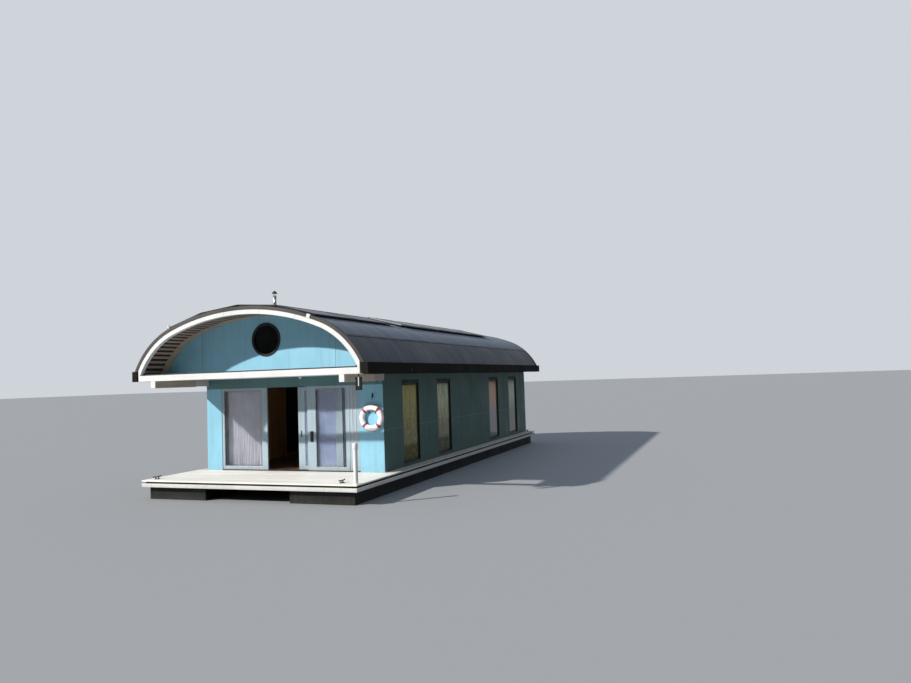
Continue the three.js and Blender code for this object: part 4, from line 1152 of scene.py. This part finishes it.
for outer, inner, ys in layers(ROOF_OUT):
    arched(crown_sheets, outer, inner, -SEAM, SEAM, ys)
for sign in (-1, 1):
    arched(crown_sheets, ROOF_OUT + FOLD["over"], ROOF_OUT - FOLD["under"], sign * (SEAM - FOLD["from"]),
           sign * (SEAM + FOLD["to"]), roof_ys, finish=1)
    for outer, inner, ys in layers(HAUNCH_OUT):
        ends = sign * (SEAM + SEAM_CLEAR), sign * foot_angle(EAVE_TOP, inner)
        arched(haunch_sheets, outer, inner, *ends, ys, level=EAVE_TOP, since=SEAM)
fitted("crown_roofing", crown_sheets, [UPPER_ROOFING, EDGE_METAL], stands_for=["roof_crown"])
fitted("haunch_roofing", haunch_sheets, [LOWER_ROOFING],
       stands_for=["left_roof_haunch", "right_roof_haunch"])

# Verges and eaves
# Dark coated sheet is folded over the roof at both ends, in lengths with a cover strap at each
# joint, and two white clips hold the front one. Dark fascia boards run along the eaves, with straps
# and two small round outlets.
VERGE = {"outer": 0.090, "inner": {"front": HAIR, "rear": -0.070}, "pieces": 8, "strap": 0.05}
EAVE_LOW, EAVE_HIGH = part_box("right_eave")
FASCIA = {"length": 2.8, "strap_half": 0.035, "proud": 0.004}
SPOUTS = {"places": (2.60, 13.0), "height": 2.775, "radius": 0.045}
CLIPS = ((math.radians(18.8), 0.002, 0.094), (math.radians(-22.3), 0.0905, 0.165))

VERGE_METAL = painted("dark verge metal", (0.055, 0.050, 0.048), (0.3, 0.3, 0.3), rough=0.45, metal=0.3,
                      splash=0)
FASCIA_PAINT = painted("dark brown fascia paint", (0.009, 0.0085, 0.006), (0.08, 0.07, 0.05), rough=0.65,
                       splash=0, streaks=0.05, gloss=0.08)
verges, fascia, verge_clips = Form(84), Form(85), Form(86)
for end, inner in VERGE["inner"].items():
    ys = extent(f"{end}_verge")[1]
    foot, face, strap = foot_angle(EAVE_TOP, inner), VERGE["outer"] - 0.002, VERGE["strap"] / 9
    for a, b in lengths(-foot, foot, 2 * foot / VERGE["pieces"] + 1e-9):
        arched(verges, face, inner, a, b, ys, level=EAVE_TOP)
        if b < foot - 0.01:
            arched(verges, VERGE["outer"], face + 0.0002, *about(b, strap), ys)
radius, side = SPOUTS["radius"], EAVE_HIGH.x
rim = [(radius, HAIR), (radius, 0.008), (radius - 0.006, 0.009), (radius - 0.012, 0.0015), (0, 0.0015)]
for sign in (-1, 1):
    strap_xs = [sign * (side + HAIR), sign * (side + FASCIA["proud"])]
    for a, y in lengths(EAVE_LOW.y, EAVE_HIGH.y, FASCIA["length"])[:-1]:
        fascia.block(strap_xs, about(y, FASCIA["strap_half"]), [EAVE_LOW.z + 0.004, EAVE_HIGH.z - 0.004])
    for y in SPOUTS["places"]:
        place = (sign * side, FACE + y, DECK_TOP + SPOUTS["height"])
        fascia.turned([(r, sign * h) for r, h in rim], place, "X", 24, finish=1)
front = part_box("front_verge")[0].y
for angle, low, high in CLIPS:
    ends = about(angle, 0.050 / CROWN)
    arched(verge_clips, high, low, *ends, [front - 0.004, front - HAIR])
    arched(verge_clips, high + 0.004, max(high, 0.0905), *ends, [front - 0.004, front + 0.08])
dressed(FASCIA_PAINT, "left_eave", "right_eave")
fitted("verge_lengths", verges, [VERGE_METAL], stands_for=["front_verge", "rear_verge"],
       rounded=0.002)
fitted("verge_clips", verge_clips, [WHITE_PAINT])
fitted("fascia_straps_and_outlets", fascia, [FASCIA_PAINT, RUBBER])

# Solar panels
# Two groups of framed glass panels lie on curved rails over the crown. The front ones are dark
# collectors with tubes behind the glass, the rear ones pale grey cells.
SOLAR = {"edges": (-2.450, 2.150), "thick": 0.035, "rows": 4, "gap": 0.020, "wide": 0.060, "sunk": 0.005}
MODULE = {"frame": 0.014, "glass": 0.006, "gap": 0.012}
COLLECTORS = {"from": 0.060, "to": 4.640, "rail": 0.015, "rails": (1.100, 2.600, 4.300), "modules": 2}
PALE_PANELS = {"from": 5.160, "to": 13.800, "rail": 0.040, "rails": (5.500, 8.200, 10.900, 13.500),
               "modules": 5}

ALUMINIUM = painted("mill aluminium", (0.28, 0.29, 0.31), (0.40, 0.40, 0.40), rough=0.55, metal=0.3,
                    streaks=0.25, splash=0, texture=0.0002)
TUBE_GLASS, tree, shader = shaded("collector glass", Metallic=0.3, Roughness=0.12, Coat_Weight=0.6)
tubes = {"Vector": surface(tree), "Scale": 2.6, "Distortion": 0.15}
tubes = put(tree, "TexWave", tubes, bands_direction="X").outputs["Fac"]
base = mixed(tree, spread(tree, tubes, 0.80, 0.97), (0.018, 0.022, 0.030), (0.20, 0.22, 0.25))
clouds = using(tree, WEATHERING, Cloud_Size=0.7)["Cloud"]
finished(tree, shader, coated(tree, base, (clouds, 0.25, (0.10, 0.11, 0.11))))

CELL_GLASS, tree, shader = shaded("solar cell glass", Metallic=0.3, Roughness=0.16, Coat_Weight=0.7)
grid = {"Vector": surface(tree), "Scale": 1.0, "Mortar Size": 0.004, "Brick Width": 0.16, "Row Height": 0.16}
fingers = put(tree, "TexWave", {"Vector": surface(tree), "Scale": 12.0}, bands_direction="Y").outputs["Fac"]
base = mixed(tree, spread(tree, fingers, 0.9, 1.0, 0, 0.3), (0.13, 0.145, 0.18), (0.40, 0.42, 0.44))
base = mixed(tree, put(tree, "TexBrick", grid, offset=0.0).outputs["Fac"], base, (0.48, 0.50, 0.52))
clouds = using(tree, WEATHERING, Cloud_Size=1.1)["Cloud"]
finished(tree, shader, coated(tree, base, (clouds, 0.4, (0.38, 0.39, 0.39))))

ends = [math.asin(edge / (CROWN + ROOF_OUT)) for edge in SOLAR["edges"]]
for node, group, metal, glass in (("front_collectors", COLLECTORS, DARK_METAL, TUBE_GLASS),
                                  ("rear_solar_panels", PALE_PANELS, ALUMINIUM, CELL_GLASS)):
    panels, rail = Form(90), ROOF_OUT + group["rail"]
    row_width = ((ends[1] - ends[0]) * (CROWN + rail) - (SOLAR["rows"] - 1) * SOLAR["gap"]) / SOLAR["rows"]
    for y in group["rails"]:
        ys = [FACE + y, FACE + y + SOLAR["wide"]]
        arched(panels, rail - SOLAR["sunk"] - SLIT, ROOF_OUT + HAIR, *ends, ys)
        for angle in ends:
            x, z = arch_point(angle, ROOF_OUT + 0.02)
            panels.tilted((x, sum(ys) / 2, z), (0.05, 0.10, 0.012), angle)
    w, t, inset = row_width / 2, SOLAR["thick"] / 2, MODULE["frame"] + 0.0008
    rim = [(0, -t), (0, t - 0.002), (0.002, t), (MODULE["frame"] - 0.002, t), (MODULE["frame"], t - 0.002),
           (MODULE["frame"], -t)]
    module_length = (group["to"] - group["from"]) / group["modules"]
    for row in range(SOLAR["rows"]):
        angle = ends[0] + (row + 0.5) * (row_width + SOLAR["gap"]) / (CROWN + rail)
        turn = Matrix.Rotation(angle, 3, "Y")
        x, z = arch_point(angle, rail + t - SOLAR["sunk"])
        for a, b in lengths(FACE + group["from"], FACE + group["to"], module_length + 0.001, MODULE["gap"]):
            middle, l = Vector((x, (a + b) / 2, z)), (b - a) / 2
            panels.loft([[middle + turn @ Vector((su * (w - i), sv * (l - i), h)) for i, h in rim]
                         for su, sv in SQUARE], endless=True)
            for height, thick, finish in ((t - 0.010, MODULE["glass"], 1), (0.006 - t, 0.004, 2)):
                sheet = (2 * (w - inset), 2 * (l - inset), thick)
                panels.tilted(middle + turn @ Vector((0, 0, height)), sheet, angle, finish)
    fitted(f"{node}_modules", panels, [metal, glass, DARK_METAL], stands_for=[node])

# Flue
# The stove's steel flue comes through a turned skirt on the roof. It has a storm collar and a
# conical cap on three strips.
FLUE_LOW, FLUE_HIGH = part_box("flue")
FLUE_RADIUS, SKIRT_RADIUS, CAP_RADIUS = 0.055, 0.130, 0.090
SKIRT_FOOT, SKIRT_EDGE, SKIRT_TOP, PIPE_TOP, CAP_LOW = 5.09, 5.316, 5.42, 6.53, 6.600
FLUE_JOINTS = (5.86, 6.30)

SOOTED = painted("sooted cap", (0.05, 0.05, 0.05), (0.3, 0.3, 0.3), rough=0.5, metal=0.7, streaks=0.4,
                 splash=0)
flue, axle = Form(95), (FLUE_LOW + FLUE_HIGH) / 2
axle.z = 0
profile = [(SKIRT_RADIUS, SKIRT_FOOT), (SKIRT_RADIUS, SKIRT_EDGE), (SKIRT_RADIUS - 0.004, SKIRT_EDGE + 0.006)]
pipe = [(0.010, SKIRT_TOP - 0.008), (0.003, SKIRT_TOP), (0, SKIRT_TOP + 0.004)]
for joint in FLUE_JOINTS:
    pipe += [(0, joint), (0.003, joint + 0.005), (0.003, joint + 0.015), (0, joint + 0.020)]
pipe += [(0, PIPE_TOP), (-0.003, PIPE_TOP + 0.004), (-0.003, PIPE_TOP - 0.12)]
flue.turned(profile + [(FLUE_RADIUS + r, z) for r, z in pipe], axle, "Z", 48)
collar = [(0.001, 0.04), (0.005, 0.04), (0.040, 0.0), (0.042, 0.002), (0.009, 0.044), (0.001, 0.055)]
flue.turned([(FLUE_RADIUS + r, SKIRT_TOP + 0.005 + h) for r, h in collar], axle, "Z", 48)
cap = [(0, CAP_LOW + 0.006), (CAP_RADIUS - 0.010, CAP_LOW), (CAP_RADIUS - 0.001, CAP_LOW),
       (CAP_RADIUS, CAP_LOW + 0.004), (CAP_RADIUS - 0.002, CAP_LOW + 0.022), (0.015, FLUE_HIGH.z - 0.005),
       (0, FLUE_HIGH.z - 0.001)]
flue.turned(cap, axle, "Z", 48, finish=1)
for n in range(3):
    turn = math.radians(30 + 120 * n)
    out = Vector((math.cos(turn), math.sin(turn), 0))
    side, rings = Vector((-out.y, out.x, 0)) * 0.009, []
    for radius, z in ((SLIT, PIPE_TOP - 0.06), (SLIT, PIPE_TOP - 0.005), (0.022, CAP_LOW + 0.002)):
        p = axle + out * (FLUE_RADIUS + radius) + Vector((0, 0, z))
        rings.append([p - side, p + side, p + side + out * 0.002, p - side + out * 0.002])
    flue.loft(rings)
fitted("flue_pipe", flue, [STEEL, SOOTED], stands_for=["flue"])

# Lifebuoy
# A moulded ring with four red bands and a grab rope hangs on two coated hooks on the right front
# panel.
BUOY_LOW, BUOY_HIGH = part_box("lifebuoy")
BUOY_CENTRE = (BUOY_LOW + BUOY_HIGH) / 2
RING_RADIUS, TUBE_RADIUS, TUBE_FLAT, AROUND = 0.285, 0.075, 0.75, 96
BANDS, BAND_HALF = [math.radians(a) for a in (46, 136, 226, 316)], math.radians(7)

BUOY_WHITE = painted("moulded white plastic", (0.95, 0.93, 0.95), (0.7, 0.66, 0.62), dirt=(0.40, 0.34, 0.28),
                     rough=0.5, clouds=0.05, streaks=0.15, splash=0, wear=0.0)
BUOY_RED = painted("faded red band", (0.36, 0.040, 0.065), (0.6, 0.2, 0.2), dirt=(0.25, 0.05, 0.05),
                   rough=0.5, streaks=0.1, splash=0, wear=0.3)
ROPE, tree, shader = shaded("faded red rope", Roughness=0.85)
strands = {"Vector": surface(tree), "Scale": 34.0}
strands = put(tree, "TexWave", strands, bands_direction="DIAGONAL").outputs["Fac"]
finished(tree, shader, mixed(tree, strands, (0.45, 0.14, 0.16), (0.80, 0.42, 0.43)), height=strands,
         relief=0.002, strength=0.8)


def ring_section(angle, swell):
    """The ring's oval section at an angle round it, swollen a little for a band."""
    section = []
    for t in (2 * math.pi * n / 24 for n in range(24)):
        r = RING_RADIUS + (TUBE_RADIUS + swell) * math.cos(t)
        y = (TUBE_RADIUS * TUBE_FLAT + swell) * math.sin(t)
        section.append(BUOY_CENTRE + Vector((r * math.cos(angle), y, r * math.sin(angle))))
    return section


buoy, hooks, rope, rope_rings = Form(97), Form(98), [], []
rounds = [2 * math.pi * n / AROUND for n in range(AROUND)]
buoy.loft([ring_section(a, -0.002) for a in rounds], endless=True)
for band in BANDS:
    buoy.loft([ring_section(band + BAND_HALF * k / 3, 0.0) for k in range(-3, 4)], finish=1)
for a in rounds:
    r = RING_RADIUS + TUBE_RADIUS + 0.006 + 0.012 * abs(math.sin(2 * a))
    a += BANDS[0]
    rope.append(BUOY_CENTRE + Vector((r * math.cos(a), -0.004, r * math.sin(a))))
ahead = Vector((0, 1, 0))
for n, p in enumerate(rope):
    side = (rope[(n + 1) % AROUND] - rope[n - 1]).normalized().cross(ahead).normalized()
    rope_rings.append([p + (side * math.cos(t) + ahead * math.sin(t)) * 0.0055
                       for t in (2 * math.pi * k / 8 for k in range(8))])
buoy.loft(rope_rings, finish=2, endless=True)
z = BUOY_CENTRE.z + RING_RADIUS - TUBE_RADIUS
hook = ((0.005, -0.035), (0.10, -0.030), (0.122, -0.018), (0.128, 0.010))
for x in about(BUOY_CENTRE.x, 0.09):
    hooks.block(about(x, 0.015), [WALL_FRONT - 0.005, WALL_FRONT - HAIR], [z - 0.10, z - 0.02])
    hooks.tube([(x, WALL_FRONT - out, z + up) for out, up in hook], 0.006, 10)
fitted("lifebuoy_ring", buoy, [BUOY_WHITE, BUOY_RED, ROPE], stands_for=["lifebuoy"])
fitted("lifebuoy_hooks", hooks, [DARK_METAL], rounded=0.001)

# Deck fittings
# A turned white mooring post stands at the right front corner. A black lantern hangs under the
# beam's end and a white dome lamp under the ceiling. A bracket lamp and a hook are screwed to the
# right front panel, and cast cleats are bolted to the deck near its corners.
POST_LOW, POST_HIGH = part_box("corner_post")
POST_RADIUS, POST_TOP = (POST_HIGH.x - POST_LOW.x) / 2, POST_HIGH.z - POST_LOW.z
LANTERN = {"x": 3.365, "y": FACE + 0.06, "top": tie_zs[0] - HAIR}
DOME_X, BRACKET_X, HOOK_X = 0.37, 2.80, 2.63
CLEATS = ((-3.05, -8.15), (2.72, -8.15), (-3.05, 8.15), (3.05, 8.15))

mooring_post, lamps, cleats = Form(100), Form(101), Form(102)
post = [(0, 0), (0, 0.012), (0.012, 0.018), (0.012, POST_TOP - 0.16), (0.004, POST_TOP - 0.15),
        (0, POST_TOP - 0.14), (0, POST_TOP - 0.035), (0.012, POST_TOP - 0.012), (0.035, POST_TOP - 0.002),
        (POST_RADIUS, POST_TOP)]
post_foot = (POST_LOW + POST_HIGH) / 2
post_foot.z = POST_LOW.z
mooring_post.turned([(POST_RADIUS - inset, height) for inset, height in post], post_foot, "Z", 48)
fitted("mooring_post", mooring_post, [WHITE_PAINT], stands_for=["corner_post"])

LAMP_GLASS = painted("opal lamp glass", (0.80, 0.80, 0.76), (0.7, 0.7, 0.7), rough=0.25, streaks=0.08,
                     splash=0)
x, y, top = LANTERN.values()
lamps.turned([(0.016, 0.0), (0.016, -0.07), (0, -0.07)], (x, y, top), "Z", 16)
for xs, ys, drops in (((-0.070, -0.030), (-0.045, 0.045), (-0.30, -0.075)),
                      ((0.030, 0.070), (-0.045, 0.045), (-0.30, -0.075)),
                      ((-0.029, 0.029), (0.030, 0.045), (-0.30, -0.075)),
                      ((-0.070, 0.070), (-0.045, 0.045), (-0.40, -0.3005))):
    lamps.block([x + dx for dx in xs], [y + dy for dy in ys], [top + drop for drop in drops])
lamps.turned([(0.026, 0.0), (0.026, -0.22), (0, -0.22)], (x, y, top - 0.08), "Z", 24, finish=1)
dome = [(0.0, 0.0), (0.045, 0.0), (0.045, -0.012), (0.040, -0.034), (0.025, -0.050), (0.0, -0.056)]
lamps.turned(dome, (DOME_X, WALL_FRONT - 0.06, ceiling_zs[0] - HAIR), "Z", 28, finish=1)
bracket = ((0, 0.01, 2.66), (0, 0.12, 2.62), (0.04, 0.16, 2.54), (0.07, 0.16, 2.44))
lamps.tube([(BRACKET_X + x, WALL_FRONT - y, DECK_TOP + z) for x, y, z in bracket], 0.011, 12)
rose = [(0.040, 0.0), (0.040, 0.012), (0.012, 0.016), (0, 0.016)]
lamps.turned(rose, (BRACKET_X, WALL_FRONT - HAIR, DECK_TOP + 2.66), "Y", 24)
lamps.block(about(HOOK_X, 0.02), [WALL_FRONT - 0.010, WALL_FRONT - HAIR], above_deck(2.04, 2.16))
hook = ((0.008, 2.13), (0.05, 2.11), (0.07, 2.05), (0.05, 1.99), (0.035, 2.01))
lamps.tube([(HOOK_X, WALL_FRONT - y, DECK_TOP + z) for y, z in hook], 0.008, 12)
fitted("porch_lamps_and_hook", lamps, [DARK_METAL, LAMP_GLASS], rounded=0.001)

top = DECK_TOP + 0.0006
for x, y in CLEATS:
    cleats.block(about(x, 0.035), about(y, 0.09), [top, top + 0.008])
    for dy in (-0.05, 0.05):
        cleats.turned([(0.022, 0.0), (0.014, 0.02), (0.013, 0.045)], (x, y + dy, top + 0.008), "Z", 16)
        bolt = [(0.007, 0.0), (0.007, 0.003), (0, 0.004)]
        cleats.turned(bolt, (x + 0.022, y + dy * 1.4, top + 0.008), "Z", 10)
    horn = [(x, y + t * 0.15, top + 0.058 + 0.010 * t * t) for t in (-1, -0.6, -0.25, 0.25, 0.6, 1)]
    cleats.tube(horn, 0.014, 14)
fitted("mooring_cleats", cleats, [HULL_PAINT], rounded=0.002)
